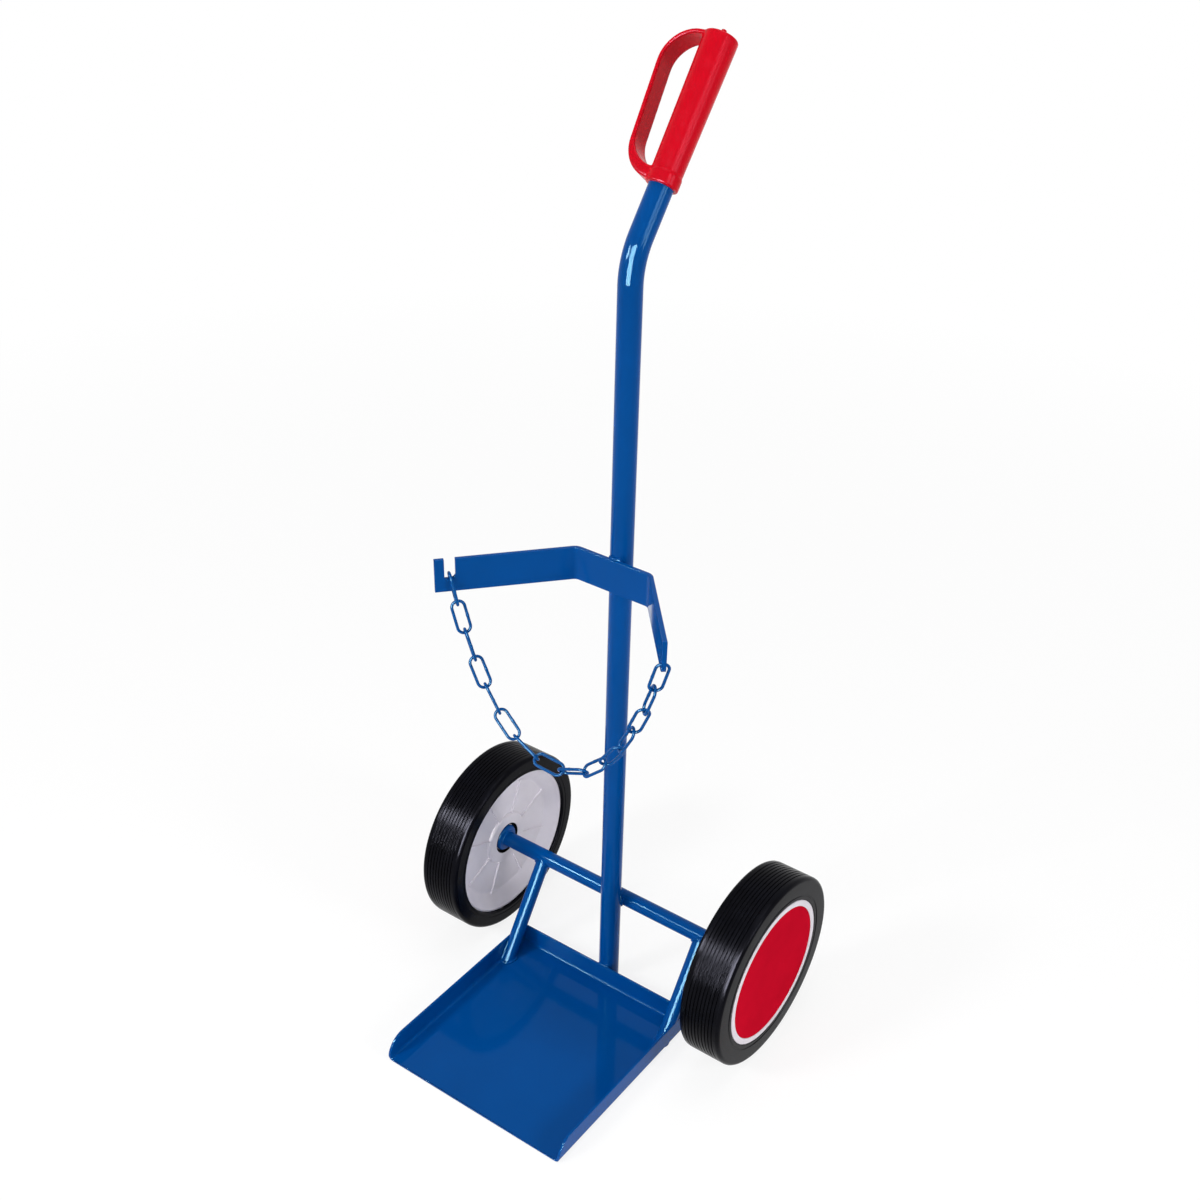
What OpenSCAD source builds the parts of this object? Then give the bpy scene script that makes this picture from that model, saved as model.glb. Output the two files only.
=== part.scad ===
// Gas cylinder cart: a single bent upright on a toe plate and two solid wheels, with a
// splayed flat bar that cradles the cylinder and a chain that holds it in.
// Millimetres. +X is the right of someone facing the back of the cart from in front, +Y is
// the back, +Z is up. The origin is the centre of the toe plate's underside.

/* [Upright tube] */
// Outside diameter of the upright tube
spine_d = 26; // [24:1:30]
// Wall of the upright tube
spine_wall = 2; // [1.5:0.5:3]
// Height at which the upright and the leaning handle end would meet as a corner
bend_z = 964; // [880:4:1040]
// Lean of the handle end from vertical, in degrees
lean = 38; // [28:1:44]
// Centre line radius of the tube bend
bend_r = 75; // [60:5:100]

/* [Toe plate] */
// Width of the toe plate over its side flanges
plate_w = 265; // [240:5:290]
// Depth of the toe plate from its front edge to the rear flange
plate_d = 268; // [240:4:300]
// Thickness of the folded sheet
sheet_t = 3; // [2:0.5:4]
// Height of the upturned flanges
flange_h = 30; // [24:1:40]
// Outside radius of the folds
fold_r = 7; // [5:0.5:9]

/* [Axle] */
// Diameter of the axle bar
axle_d = 20; // [18:1:22]
// Distance between the middle planes of the two wheels
track = 400; // [380:5:440]
// Diameter of the stop rings welded to the axle
stop_d = 36; // [30:1:40]
// Width of a stop ring
stop_w = 6; // [4:1:7]
// Diameter of the outer washers
washer_d = 36; // [30:1:40]
// Thickness of the outer washers
washer_t = 2.5; // [2:0.5:3]
// Diameter of the split pins
pin_d = 4; // [3:0.5:5]
// Metal between a split pin's hole and the axle's end
axle_edge = 2; // [1.5:0.5:4]
// Gap between the axle's end and the hub cap
axle_gap = 0.5; // [0.4:0.1:1]
// Length of a split pin
pin_len = 32; // [28:1:40]

/* [Struts] */
// Outside diameter of the struts
strut_d = 18; // [15:1:20]
// Wall of the struts
strut_wall = 2; // [1.5:0.5:3]
// Distance from the rear flange forward to the middle of a strut's foot
strut_reach = 43; // [36:1:60]

/* [Wheels] */
// Outside diameter of the tyre
wheel_d = 250; // [230:5:270]
// Width of the tyre
tyre_w = 56; // [52:1:64]
// Radius of the tyre's shoulders
shoulder_r = 6; // [4:1:8]
// Number of grooves round the tread
groove_count = 7; // [5:1:9]
// Width of a tread groove
groove_w = 1.6; // [1:0.2:2.4]
// Depth of a tread groove
groove_h = 1.6; // [1:0.2:2.4]
// Diameter of the rim's ring on the outer side
ring_d = 191; // [184:1:196]
// Diameter of the rim's flange on the inner side
flange_d = 206; // [202:1:212]
// Width of the rim's flange on the inner side
flange_w = 6; // [4:1:8]
// Distance from the tyre's inner side to the rim's flange
flange_set = 4; // [2:1:6]
// Width of the flange's lip
lip_w = 6; // [4:1:8]
// Width of the slope from the flange's lip down to the web
dish_w = 14; // [8:1:20]
// Distance from the tyre's inner side to the web
web_set = 19; // [19:1:22]
// Diameter of the red hub cap
cap_d = 175; // [166:1:178]
// Thickness of the hub cap
cap_t = 2.5; // [2:0.5:4]
// Depth of the hub cap's skirt behind its face
skirt_h = 5; // [4:0.5:7]
// Wall of the hub cap's skirt
skirt_t = 3; // [2:0.5:4]
// Width of the ledge that the skirt seats on
ledge_w = 4; // [3:0.5:6]
// Outside diameter of the hub boss on the inner side
boss_d = 74; // [66:1:84]
// Chamfer of the hub boss
boss_edge = 2; // [1:0.5:3.5]
// Distance from the tyre's inner side to the end of the hub boss
boss_set = 15; // [13:1:15]
// Diameter of the recess that takes the stop ring
recess_d = 44; // [42:1:48]
// Distance from the tyre's inner side to the foot of that recess
recess_set = 20; // [18:1:22]
// Outside diameter of the hub's bearing bush
bush_d = 30; // [27:1:34]
// Wall of the hub round the bush
hub_wall = 7; // [4:0.5:10]
// Thickness of the rim's web
web_t = 6; // [4:0.5:8]
// Number of ribs on the inner side of the rim
rib_count = 8; // [6:1:12]
// Width of a rib
rib_w = 2; // [1.5:0.5:4]
// Height of a rib above the web
rib_h = 2.5; // [1.5:0.5:4]

/* [Cylinder bracket] */
// Height of the flat bar
bar_h = 40; // [36:1:46]
// Thickness of the flat bar
bar_t = 5; // [4:0.5:6]
// Height of the bar's top edge above the ground
bracket_z = 637.5; // [560:2.5:720]
// Distance between the bar's two bends
bracket_flat = 98; // [90:1:110]
// Angle by which each arm turns forward, in degrees
splay = 49; // [42:1:56]
// Inside radius of the bar's bends
bar_bend_r = 8; // [5:1:12]
// Length of the left arm from its bend
left_arm = 158; // [140:1:175]
// Length of the right arm from its bend
right_arm = 132; // [118:1:150]
// Width of the chain notch
notch_w = 12; // [9:1:14]
// Depth of the chain notch
notch_h = 24; // [20:1:26]
// Distance from the end of the left arm to the middle of the notch
notch_in = 17; // [15:1:22]
// Radius of the notch's inner foot corner
notch_r = 5; // [3:0.5:5.5]
// Diameter of the eye that holds the chain's right end
eye_d = 8; // [7:0.5:10]
// Metal left between the eye and the bar's edges
eye_edge = 4.5; // [3.5:0.5:7]

/* [Chain] */
// Distance from one link to the next
link_pitch = 34; // [32:0.5:36]
// Outside width of a link
link_w = 18; // [17:0.5:20]
// Diameter of the link's wire
wire_d = 3.5; // [3:0.25:4]
// Distance of the first link's crown from the middle of the bar's thickness
first_shift = 2; // [1.6:0.1:2.4]
// Distance of the last link's crown from the middle of the bar's thickness
last_shift = 0.8; // [0.4:0.1:1.4]

/* [Grip] */
// Length of the grip
grip_len = 154; // [140:2:170]
// Distance along the handle axis from the corner of the bend to the grip
grip_start = 76; // [70:2:100]
// Diameter of the grip at its foot
grip_foot_d = 32; // [31:0.5:35]
// Diameter of the grip at its head
grip_head_d = 35.5; // [33:0.5:38]
// Diameter of the collar at the grip's foot
collar_d = 34; // [33:0.5:38]
// Height of the collar
collar_h = 13; // [8:1:18]
// Thickness of the grip's closed end
grip_end_t = 5; // [3:0.5:8]
// Chamfer of the grip's head
head_edge = 1; // [1:0.5:4]
// Diameter of the moulding nub on the grip's head
nub_d = 5.5; // [4:0.5:8]
// Height of the nub
nub_h = 5; // [1:0.5:6]
// Distance from the grip's axis to the knuckle guard's upper outer corner
guard_out = 55; // [50:0.5:62]
// How much nearer the axis the guard's lower outer corner lies
guard_flare = 10; // [4:0.5:11]
// Height of the guard's lower outer corner above the grip's foot
guard_low = 7; // [6:1:12]
// Distance from the grip's head to the guard's upper outer corner
guard_high = 0; // [0:1:6]
// Distance from the grip's ends to the guard's arms
guard_edge = 1; // [0.5:0.5:3]
// Radius of the guard's lower outer corner
guard_low_r = 36; // [24:1:37]
// Radius of the guard's upper outer corner
guard_high_r = 35; // [16:1:37]
// Thickness of the guard's lower arm where it leaves the grip
guard_foot_t = 14; // [10:0.5:15]
// Width of the guard's strap
strap_w = 26; // [20:1:28]
// Thickness of the guard's strap
strap_t = 4.5; // [4:0.5:6]
// Turn of the guard towards the back from square across the cart, in degrees
guard_turn = 0; // [0:5:20]

/* [Clearances] */
// Radial running clearance between a bush and the axle
run_fit = 0.05; // [0.03:0.01:0.1]
// Radial clearance of pieces pushed over a tube or bar
slip_fit = 0.1; // [0.05:0.05:0.3]
// Gap between a turning face and the still face beside it
face_gap = 0.3; // [0.2:0.1:0.6]
// Gap between two links
link_gap = 0.5; // [0.4:0.1:0.7]
// Gap between an end link and the metal that it hangs on
seat_gap = 0.3; // [0.2:0.1:0.5]

/* [Hidden] */
$fn = 96;
wire_fn = 24;
cut = 1;
// How far the tube's leaning stretch runs into its bend, and how much thicker it is, so that it
// closes over the bend's end as one solid.
tube_lap = 0.5;
tube_step = 0.01;

spine_r = spine_d / 2;
spine_y = plate_d / 2 + spine_r;
tangent_len = bend_r * tan(lean / 2);
tube_end = grip_start + grip_len - grip_end_t - slip_fit;

axle_r = axle_d / 2;
axle_y = spine_y + spine_r + axle_r;
axle_z = wheel_d / 2;

strut_r = strut_d / 2;
strut_x = plate_w / 2 - strut_r;
strut_foot_y = plate_d / 2 - strut_reach;
strut_tilt = atan2(axle_y - strut_foot_y, axle_z - sheet_t);
strut_len = norm([axle_y - strut_foot_y, axle_z - sheet_t]);

// Stations along a wheel's axis, measured outwards from its middle plane.
face_out = tyre_w / 2;
cap_back = face_out - cap_t;
cap_seat = cap_back - skirt_h;
axle_end = cap_back - axle_gap;
pin_at = axle_end - axle_edge - pin_d / 2;
washer_out = pin_at - pin_d / 2 - face_gap;
hub_out = washer_out - washer_t - face_gap;
hub_in = recess_set - face_out;
boss_in = boss_set - face_out;
flange_in = flange_set - face_out;
flange_back = flange_in + flange_w;
web_in = web_set - face_out;
web_out = web_in + web_t;

// The bar's middle line: its centre stretch lies against the upright, the arms splay forward.
bar_y = spine_y - spine_r - bar_t / 2;
bar_foot = bracket_z - bar_h;
notch_s = left_arm - notch_in;
notch_foot = bar_h - notch_h;
eye_in = eye_d / 2 + eye_edge;
eye_s = right_arm - eye_in;

// An end link straddles the bar with its crown set back by a shift, so that its legs clear both
// faces as it leans. The inside of its crown then sits this much above the metal.
crown_r = link_w / 2 - wire_d;
function crown_rise(shift) =
    crown_r - sqrt(pow(crown_r, 2) - pow(bar_t / 2 + shift, 2)) + seat_gap;

// The two points that the chain hangs from, and the upright plane through them.
hang_left = [-bracket_flat / 2 - notch_s * cos(splay) - first_shift * sin(splay),
             bar_y - notch_s * sin(splay) + first_shift * cos(splay),
             bar_foot + notch_foot + crown_rise(first_shift)];
hang_right = [bracket_flat / 2 + eye_s * cos(splay) + last_shift * sin(splay),
              bar_y - eye_s * sin(splay) + last_shift * cos(splay),
              bar_foot + eye_edge + crown_rise(last_shift)];
chain_turn = atan2(hang_right.y - hang_left.y, hang_right.x - hang_left.x);
chain_span = norm([hang_right.x - hang_left.x, hang_right.y - hang_left.y]);
chain_drop = hang_right.z - hang_left.z;

// A hanging chain of equal links: the slope grows by the same step from link to link.
link_count = 15;
function slope(k, step, middle) = atan(step * (k - middle));
function total(v, i = 0) = i == len(v) ? 0 : v[i] + total(v, i + 1);
function reach(step, middle) =
    total([for (k = [1:link_count]) link_pitch * cos(slope(k, step, middle))]);
function climb(step, middle) =
    total([for (k = [1:link_count]) link_pitch * sin(slope(k, step, middle))]);
function find_middle(step, low = 0, high = link_count, turns = 30) =
    turns == 0 ? (low + high) / 2 :
    climb(step, (low + high) / 2) > chain_drop ?
    find_middle(step, (low + high) / 2, high, turns - 1) :
    find_middle(step, low, (low + high) / 2, turns - 1);
function find_step(low = 0.01, high = 3, turns = 30) =
    turns == 0 ? (low + high) / 2 :
    reach((low + high) / 2, find_middle((low + high) / 2)) > chain_span ?
    find_step((low + high) / 2, high, turns - 1) :
    find_step(low, (low + high) / 2, turns - 1);
slope_step = find_step();
slope_middle = find_middle(slope_step);
slopes = [for (k = [1:link_count]) slope(k, slope_step, slope_middle)];
function along(n) = total([for (i = [0:1:n - 1]) link_pitch * cos(slopes[i])]);
function up(n) = total([for (i = [0:1:n - 1]) link_pitch * sin(slopes[i])]);

blue = "#00499a";
red = "#d81028";
rubber = "#17171a";
plastic = "#b9b9c0";
zinc = "#b8bcc0";
nylon = "#e8e6dc";

// Points of a polygon whose corners are rounded by arcs of the given radii.
function arc_corner(a, b, c, r, steps = 8) =
    let (u = (a - b) / norm(a - b), v = (c - b) / norm(c - b),
         half = acos(u * v) / 2, mid = (u + v) / norm(u + v),
         o = b + mid * r / sin(half), p = b + u * r / tan(half) - o,
         q = b + v * r / tan(half) - o, sweep = 180 - 2 * half,
         side = p.x * q.y - p.y * q.x > 0 ? 1 : -1)
    [for (i = [0:steps]) let (t = side * sweep * i / steps)
        o + [p.x * cos(t) - p.y * sin(t), p.x * sin(t) + p.y * cos(t)]];
function rounded(points, radii) =
    [for (i = [0:len(points) - 1])
        let (n = len(points), a = points[(i + n - 1) % n], b = points[i], c = points[(i + 1) % n])
        each (radii[i] == 0 ? [b] : arc_corner(a, b, c, radii[i]))];

// Places its children on the handle's axis, with z measured from the corner of the bend.
module on_handle() {
    translate([0, spine_y, bend_z]) rotate([-lean, 0, 0]) children();
}

// Places its children on a wheel's axis, with z outwards from the wheel's middle plane.
module on_wheel(side) {
    translate([side * track / 2, axle_y, axle_z]) rotate([0, side * 90, 0]) children();
}

// The upright's path as a solid rod of radius r, from height from_z to end on the handle's axis.
module spine_rod(r, from_z, end) {
    translate([0, spine_y, from_z]) cylinder(r = r, h = bend_z - tangent_len - from_z);
    translate([0, spine_y + bend_r, bend_z - tangent_len]) rotate([90, 0, -90])
        rotate_extrude(angle = lean) translate([bend_r, 0]) circle(r = r);
    on_handle() translate([0, 0, tangent_len - tube_lap])
        cylinder(r = r + tube_step, h = end - tangent_len + tube_lap);
}

module spine_tube() {
    color(blue) difference() {
        spine_rod(spine_r, 0, tube_end);
        spine_rod(spine_r - spine_wall, -cut, tube_end + cut);
    }
}

// Section of the plate across its width, grown inwards by inset: a floor and two flanges.
module pan_width(inset) {
    w = plate_w / 2 - inset;
    polygon(rounded([[-w, inset], [w, inset], [w, 2 * flange_h], [-w, 2 * flange_h]],
                    [fold_r - inset, fold_r - inset, 0, 0]));
}

// Section of the plate along its depth, with the rear fold and the flanges' rounded front ends.
module pan_depth(inset) {
    front = -plate_d / 2;
    rear = plate_d / 2 - inset;
    polygon(rounded([[front - inset, inset], [rear, inset], [rear, flange_h + inset],
                     [front - inset, flange_h + inset]], [0, fold_r - inset, 0, 0]));
}

module pan_side_outline() {
    front = -plate_d / 2;
    polygon(rounded([[front, -cut], [plate_d / 2 + cut, -cut], [plate_d / 2 + cut, flange_h],
                     [front, flange_h]], [0, 0, 0, flange_h - sheet_t]));
}

module pan_block(inset) {
    intersection() {
        rotate([90, 0, 0]) linear_extrude(height = plate_d + 4 * inset + 2 * cut, center = true)
            pan_width(inset);
        rotate([90, 0, 90]) linear_extrude(height = plate_w, center = true) pan_depth(inset);
    }
}

module strut_rod(r) {
    translate([0, axle_y, axle_z]) rotate([180 - strut_tilt, 0, 0]) cylinder(r = r, h = 2 * strut_len);
}

module toe_plate() {
    color(blue) difference() {
        intersection() {
            pan_block(0);
            rotate([90, 0, 90]) linear_extrude(height = plate_w, center = true) pan_side_outline();
        }
        pan_block(sheet_t);
        for (side = [-1, 1]) translate([side * strut_x, 0, 0]) intersection() {
            strut_rod(strut_r);
            translate([-plate_w / 2, -plate_d / 2, sheet_t]) cube([plate_w, plate_d, flange_h]);
        }
    }
}

module axle_bar() {
    color(blue) difference() {
        translate([0, axle_y, axle_z]) rotate([0, 90, 0])
            cylinder(r = axle_r, h = track + 2 * axle_end, center = true);
        for (side = [-1, 1]) on_wheel(side) translate([0, 0, pin_at]) rotate([0, 90, 0])
            cylinder(r = pin_d / 2 + slip_fit, h = axle_d + 2 * cut, center = true, $fn = 48);
    }
}

// A strut is cut to saddle the axle and to stand on the plate's floor.
module strut(side) {
    color(blue) translate([side * strut_x, 0, 0]) difference() {
        strut_rod(strut_r);
        strut_rod(strut_r - strut_wall);
        translate([0, axle_y, axle_z]) rotate([0, 90, 0])
            cylinder(r = axle_r, h = 2 * strut_d, center = true);
        translate([-strut_d, -plate_d, sheet_t - plate_d]) cube([2 * strut_d, 2 * plate_d, plate_d]);
    }
}

module left_strut() { strut(-1); }
module right_strut() { strut(1); }

// Points of the bar's plan on its right half, off the middle line by off towards the back.
function bend_at(off) = [bracket_flat / 2 + off * tan(splay / 2), off];
function arm_end(length, off) = [bracket_flat / 2 + length * cos(splay) + off * sin(splay),
                                 off * cos(splay) - length * sin(splay)];
function flip(p) = [-p.x, p.y];

module bar_plan() {
    b = bar_t / 2;
    polygon(rounded([arm_end(right_arm, b), bend_at(b), flip(bend_at(b)), flip(arm_end(left_arm, b)),
                     flip(arm_end(left_arm, -b)), flip(bend_at(-b)), bend_at(-b),
                     arm_end(right_arm, -b)],
                    [0, bar_bend_r + bar_t, bar_bend_r + bar_t, 0, 0, bar_bend_r, bar_bend_r, 0]));
}

module notch_cut() {
    low = notch_s - notch_w / 2;
    high = notch_s + notch_w / 2;
    translate([0, bar_t, 0]) rotate([90, 0, 0]) linear_extrude(height = 2 * bar_t)
        polygon(rounded([[low, bar_h + cut], [low, notch_foot], [high, notch_foot],
                         [high, bar_h + cut]], [0, notch_r, 0, 0]));
}

module cylinder_bracket() {
    color(blue) translate([0, bar_y, bar_foot]) difference() {
        linear_extrude(height = bar_h) bar_plan();
        mirror([1, 0, 0]) translate([bracket_flat / 2, 0, 0]) rotate([0, 0, -splay]) notch_cut();
        translate([bracket_flat / 2, 0, 0]) rotate([0, 0, -splay]) {
            translate([eye_s, bar_t, eye_in]) rotate([90, 0, 0])
                cylinder(r = eye_d / 2, h = 2 * bar_t, $fn = 48);
            translate([right_arm, bar_t, 0]) rotate([90, 0, 0]) linear_extrude(height = 2 * bar_t)
                difference() {
                    translate([-eye_in, -cut]) square([eye_in + cut, eye_in + cut]);
                    translate([-eye_in, eye_in]) circle(r = eye_in, $fn = 48);
                }
        }
    }
}

// Outline of the knuckle guard in the plane of the handle's axis: x runs out from the axis and
// y along it from the grip's foot. Inset and foot move it in to the side that faces the hand.
module guard_outline(inset, foot) {
    root = spine_r / 2;
    polygon(rounded([[root, guard_edge + foot],
                     [guard_out - guard_flare - inset, guard_low + inset],
                     [guard_out - inset, grip_len - guard_high - inset],
                     [root, grip_len - guard_edge - inset]],
                    [0, guard_low_r - inset, guard_high_r - inset, 0]));
}

module handle_grip() {
    color(red) on_handle() translate([0, 0, grip_start]) difference() {
        union() {
            cylinder(r1 = grip_foot_d / 2, r2 = grip_head_d / 2, h = grip_len - head_edge);
            translate([0, 0, grip_len - head_edge])
                cylinder(r1 = grip_head_d / 2, r2 = grip_head_d / 2 - head_edge, h = head_edge);
            cylinder(r = collar_d / 2, h = collar_h);
            translate([0, 0, grip_len - cut])
                cylinder(r = nub_d / 2, h = nub_h + cut, $fn = 32);
            rotate([90, 0, 180 - guard_turn]) linear_extrude(height = strap_w, center = true)
                difference() {
                    guard_outline(0, 0);
                    guard_outline(strap_t, guard_foot_t);
                }
        }
        translate([0, 0, -cut])
            cylinder(r = spine_r + slip_fit, h = grip_len - grip_end_t + cut);
    }
}

module ring(outer, inner, from, to) {
    translate([0, 0, from]) difference() {
        cylinder(r = outer, h = to - from);
        translate([0, 0, -cut]) cylinder(r = inner, h = to - from + 2 * cut);
    }
}

module stop_ring(side) {
    seat = hub_in - face_gap;
    color(blue) on_wheel(side) ring(stop_d / 2, axle_r, seat - stop_w, seat);
}

module washer(side) {
    color(zinc) on_wheel(side)
        ring(washer_d / 2, axle_r + slip_fit, washer_out - washer_t, washer_out);
}

// A split pin through the axle, with its eye standing out at one end.
module split_pin(side) {
    eye_r = pin_d / 2;
    color(zinc) on_wheel(side) translate([0, 0, pin_at]) rotate([0, 90, 0]) {
        translate([0, 0, -pin_len / 2]) cylinder(r = pin_d / 2, h = pin_len, $fn = 48);
        translate([0, 0, pin_len / 2 + eye_r]) rotate([0, 90, 0])
            rotate_extrude($fn = 48) translate([eye_r, 0]) circle(r = eye_r / 2, $fn = wire_fn);
    }
}

module left_stop_ring() { stop_ring(-1); }
module right_stop_ring() { stop_ring(1); }
module left_washer() { washer(-1); }
module right_washer() { washer(1); }
module left_split_pin() { split_pin(-1); }
module right_split_pin() { split_pin(1); }

// The tyre's section as radius and station: grooves are cut into the flat of the tread.
module tyre() {
    out = wheel_d / 2;
    flat = tyre_w - 2 * shoulder_r;
    pitch = flat / (groove_count + 1);
    color(rubber) rotate_extrude() difference() {
        polygon(rounded([[ring_d / 2, face_out], [ring_d / 2, flange_back],
                         [flange_d / 2, flange_back], [flange_d / 2, -face_out],
                         [out, -face_out], [out, face_out]],
                        [0, 0, 0, 0, shoulder_r, shoulder_r]));
        for (i = [1:groove_count])
            translate([out - groove_h, -flat / 2 + i * pitch - groove_w / 2])
                square([2 * groove_h, groove_w]);
    }
}

// The rim is one moulding: barrel, dished web with ribs, and a hub with a recess on the inside.
module rim() {
    cap_r = cap_d / 2 + slip_fit;
    boss_r = boss_d / 2;
    dish = flange_d / 2 - lip_w;
    color(plastic) {
        rotate_extrude() polygon([
            [bush_d / 2, hub_in], [recess_d / 2, hub_in], [recess_d / 2, boss_in],
            [boss_r - boss_edge, boss_in], [boss_r, boss_in + boss_edge], [boss_r, web_in],
            [dish - dish_w, web_in], [dish, flange_in + lip_w / 2],
            [flange_d / 2 - lip_w / 2, flange_in], [flange_d / 2, flange_in],
            [flange_d / 2, flange_back], [ring_d / 2, flange_back], [ring_d / 2, face_out],
            [cap_r, face_out], [cap_r, cap_seat], [cap_r - ledge_w, cap_seat],
            [cap_r - ledge_w, web_out], [bush_d / 2 + hub_wall, web_out],
            [bush_d / 2 + hub_wall, hub_out], [bush_d / 2, hub_out]]);
        for (i = [1:rib_count]) rotate([0, 0, (i - 0.5) * 360 / rib_count])
            translate([boss_r - cut, -rib_w / 2, web_in - rib_h])
                cube([dish - dish_w + cut - boss_r, rib_w, rib_h + cut]);
    }
}

module bush() {
    color(nylon) ring(bush_d / 2, axle_r + run_fit, hub_in, hub_out);
}

// The cap is a plain disc with a skirt that seats on the rim's ledge.
module hub_cap() {
    r = cap_d / 2;
    color(red) difference() {
        translate([0, 0, cap_seat]) cylinder(r = r, h = face_out - cap_seat);
        translate([0, 0, cap_seat - cut])
            cylinder(r = r - skirt_t, h = cap_back - cap_seat + cut);
    }
}

module left_tyre() { on_wheel(-1) tyre(); }
module left_rim() { on_wheel(-1) rim(); }
module left_bush() { on_wheel(-1) bush(); }
module left_hub_cap() { on_wheel(-1) hub_cap(); }
module right_tyre() { on_wheel(1) tyre(); }
module right_rim() { on_wheel(1) rim(); }
module right_bush() { on_wheel(1) bush(); }
module right_hub_cap() { on_wheel(1) hub_cap(); }

// A link lies along X with its width along Y, two round crowns joined by two straight wires.
module link() {
    middle_r = (link_w - wire_d) / 2;
    straight = link_pitch + link_gap - 2 * crown_r;
    for (end = [0, 1]) mirror([end, 0, 0]) translate([straight / 2, 0, 0]) rotate([0, 0, -90])
        rotate_extrude(angle = 180) translate([middle_r, 0]) circle(r = wire_d / 2, $fn = wire_fn);
    for (side = [-1, 1]) translate([-straight / 2, side * middle_r, 0]) rotate([0, 90, 0])
        cylinder(r = wire_d / 2, h = straight, $fn = wire_fn);
}

// Every second link stands square to its neighbours, and the first one square to the left arm.
module chain_link(k) {
    turn = k % 2 == 1 ? 180 - splay : 90 - splay;
    color(blue) translate(hang_left) rotate([0, 0, chain_turn])
        translate([along(k - 1), 0, up(k - 1)]) rotate([0, -slopes[k - 1], 0])
            translate([link_pitch / 2, 0, 0]) rotate([turn, 0, 0]) link();
}

spine_tube();
toe_plate();
axle_bar();
left_strut();
right_strut();
cylinder_bracket();
handle_grip();
left_stop_ring();
right_stop_ring();
left_washer();
right_washer();
left_split_pin();
right_split_pin();
left_tyre();
left_rim();
left_bush();
left_hub_cap();
right_tyre();
right_rim();
right_bush();
right_hub_cap();
chain_link(1);  // chain_link_01
chain_link(2);  // chain_link_02
chain_link(3);  // chain_link_03
chain_link(4);  // chain_link_04
chain_link(5);  // chain_link_05
chain_link(6);  // chain_link_06
chain_link(7);  // chain_link_07
chain_link(8);  // chain_link_08
chain_link(9);  // chain_link_09
chain_link(10);  // chain_link_10
chain_link(11);  // chain_link_11
chain_link(12);  // chain_link_12
chain_link(13);  // chain_link_13
chain_link(14);  // chain_link_14
chain_link(15);  // chain_link_15
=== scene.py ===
"""Gas cylinder cart: visible surfaces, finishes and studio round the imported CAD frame.

Every length in the classes below is in millimetres and every angle in degrees, in the frame of
the CAD model: +X right, +Y back, +Z up, origin under the middle of the toe plate. build_object
turns the points into metres.
"""
import logging
import math
from collections.abc import Callable
from dataclasses import dataclass, field
from enum import Enum

import bmesh
import bpy
import numpy as np
from mathutils import Euler, Matrix, Vector


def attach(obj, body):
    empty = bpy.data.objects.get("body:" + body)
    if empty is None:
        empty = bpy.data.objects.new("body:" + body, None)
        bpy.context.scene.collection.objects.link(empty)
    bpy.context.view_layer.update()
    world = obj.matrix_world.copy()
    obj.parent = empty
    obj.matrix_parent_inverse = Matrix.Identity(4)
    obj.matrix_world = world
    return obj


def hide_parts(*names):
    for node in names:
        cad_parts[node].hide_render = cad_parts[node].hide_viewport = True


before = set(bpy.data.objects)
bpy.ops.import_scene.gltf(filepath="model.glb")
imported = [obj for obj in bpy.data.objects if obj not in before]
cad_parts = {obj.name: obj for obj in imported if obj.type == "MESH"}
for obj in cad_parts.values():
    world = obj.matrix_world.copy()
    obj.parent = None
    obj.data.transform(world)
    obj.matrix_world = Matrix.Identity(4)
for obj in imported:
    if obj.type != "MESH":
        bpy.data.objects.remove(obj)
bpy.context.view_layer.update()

LOG = logging.getLogger("cylinder_cart")
MM = 0.001
MERGE_DISTANCE = 2e-6
HALVINGS = 40
NOISE_SPAN = (0.3, 0.7)
FULL_TURN = 2 * math.pi
AXIS_R = 0.01
FRAME_BODY = "cart_frame"
Array = np.ndarray
Pair = tuple[float, float]
Triple = tuple[float, float, float]
Colour = Triple
Socket = bpy.types.NodeSocket


class Side(Enum):
    """The two sides of the cart, as the sign of X."""

    LEFT = -1
    RIGHT = 1

    @property
    def word(self) -> str:
        """The side's name as the CAD nodes spell it."""
        return self.name.lower()


# Surfaces


@dataclass
class Shell:
    """A closed surface: its points in millimetres and its faces as rows of point numbers."""

    points: Array
    faces: list[tuple[int, ...]]

    def placed(self, origin: Array, axes: Array) -> "Shell":
        """Carry the shell into another frame: origin + x*axes[0] + y*axes[1] + z*axes[2].

        Args:
            origin: The new place of the shell's own origin.
            axes: Three rows, the directions that its X, Y and Z take.

        Returns:
            The carried shell.
        """
        return Shell(np.asarray(origin) + self.points @ np.asarray(axes), self.faces)


def joined(shells: list[Shell]) -> Shell:
    """Put several shells into one, point numbers following on.

    Args:
        shells: The shells.

    Returns:
        One shell of all their points and faces.
    """
    starts = np.cumsum([0] + [len(s.points) for s in shells[:-1]])
    faces = [tuple(int(start) + n for n in face)
             for start, shell in zip(starts, shells) for face in shell.faces]
    return Shell(np.concatenate([s.points for s in shells]), faces)


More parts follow.
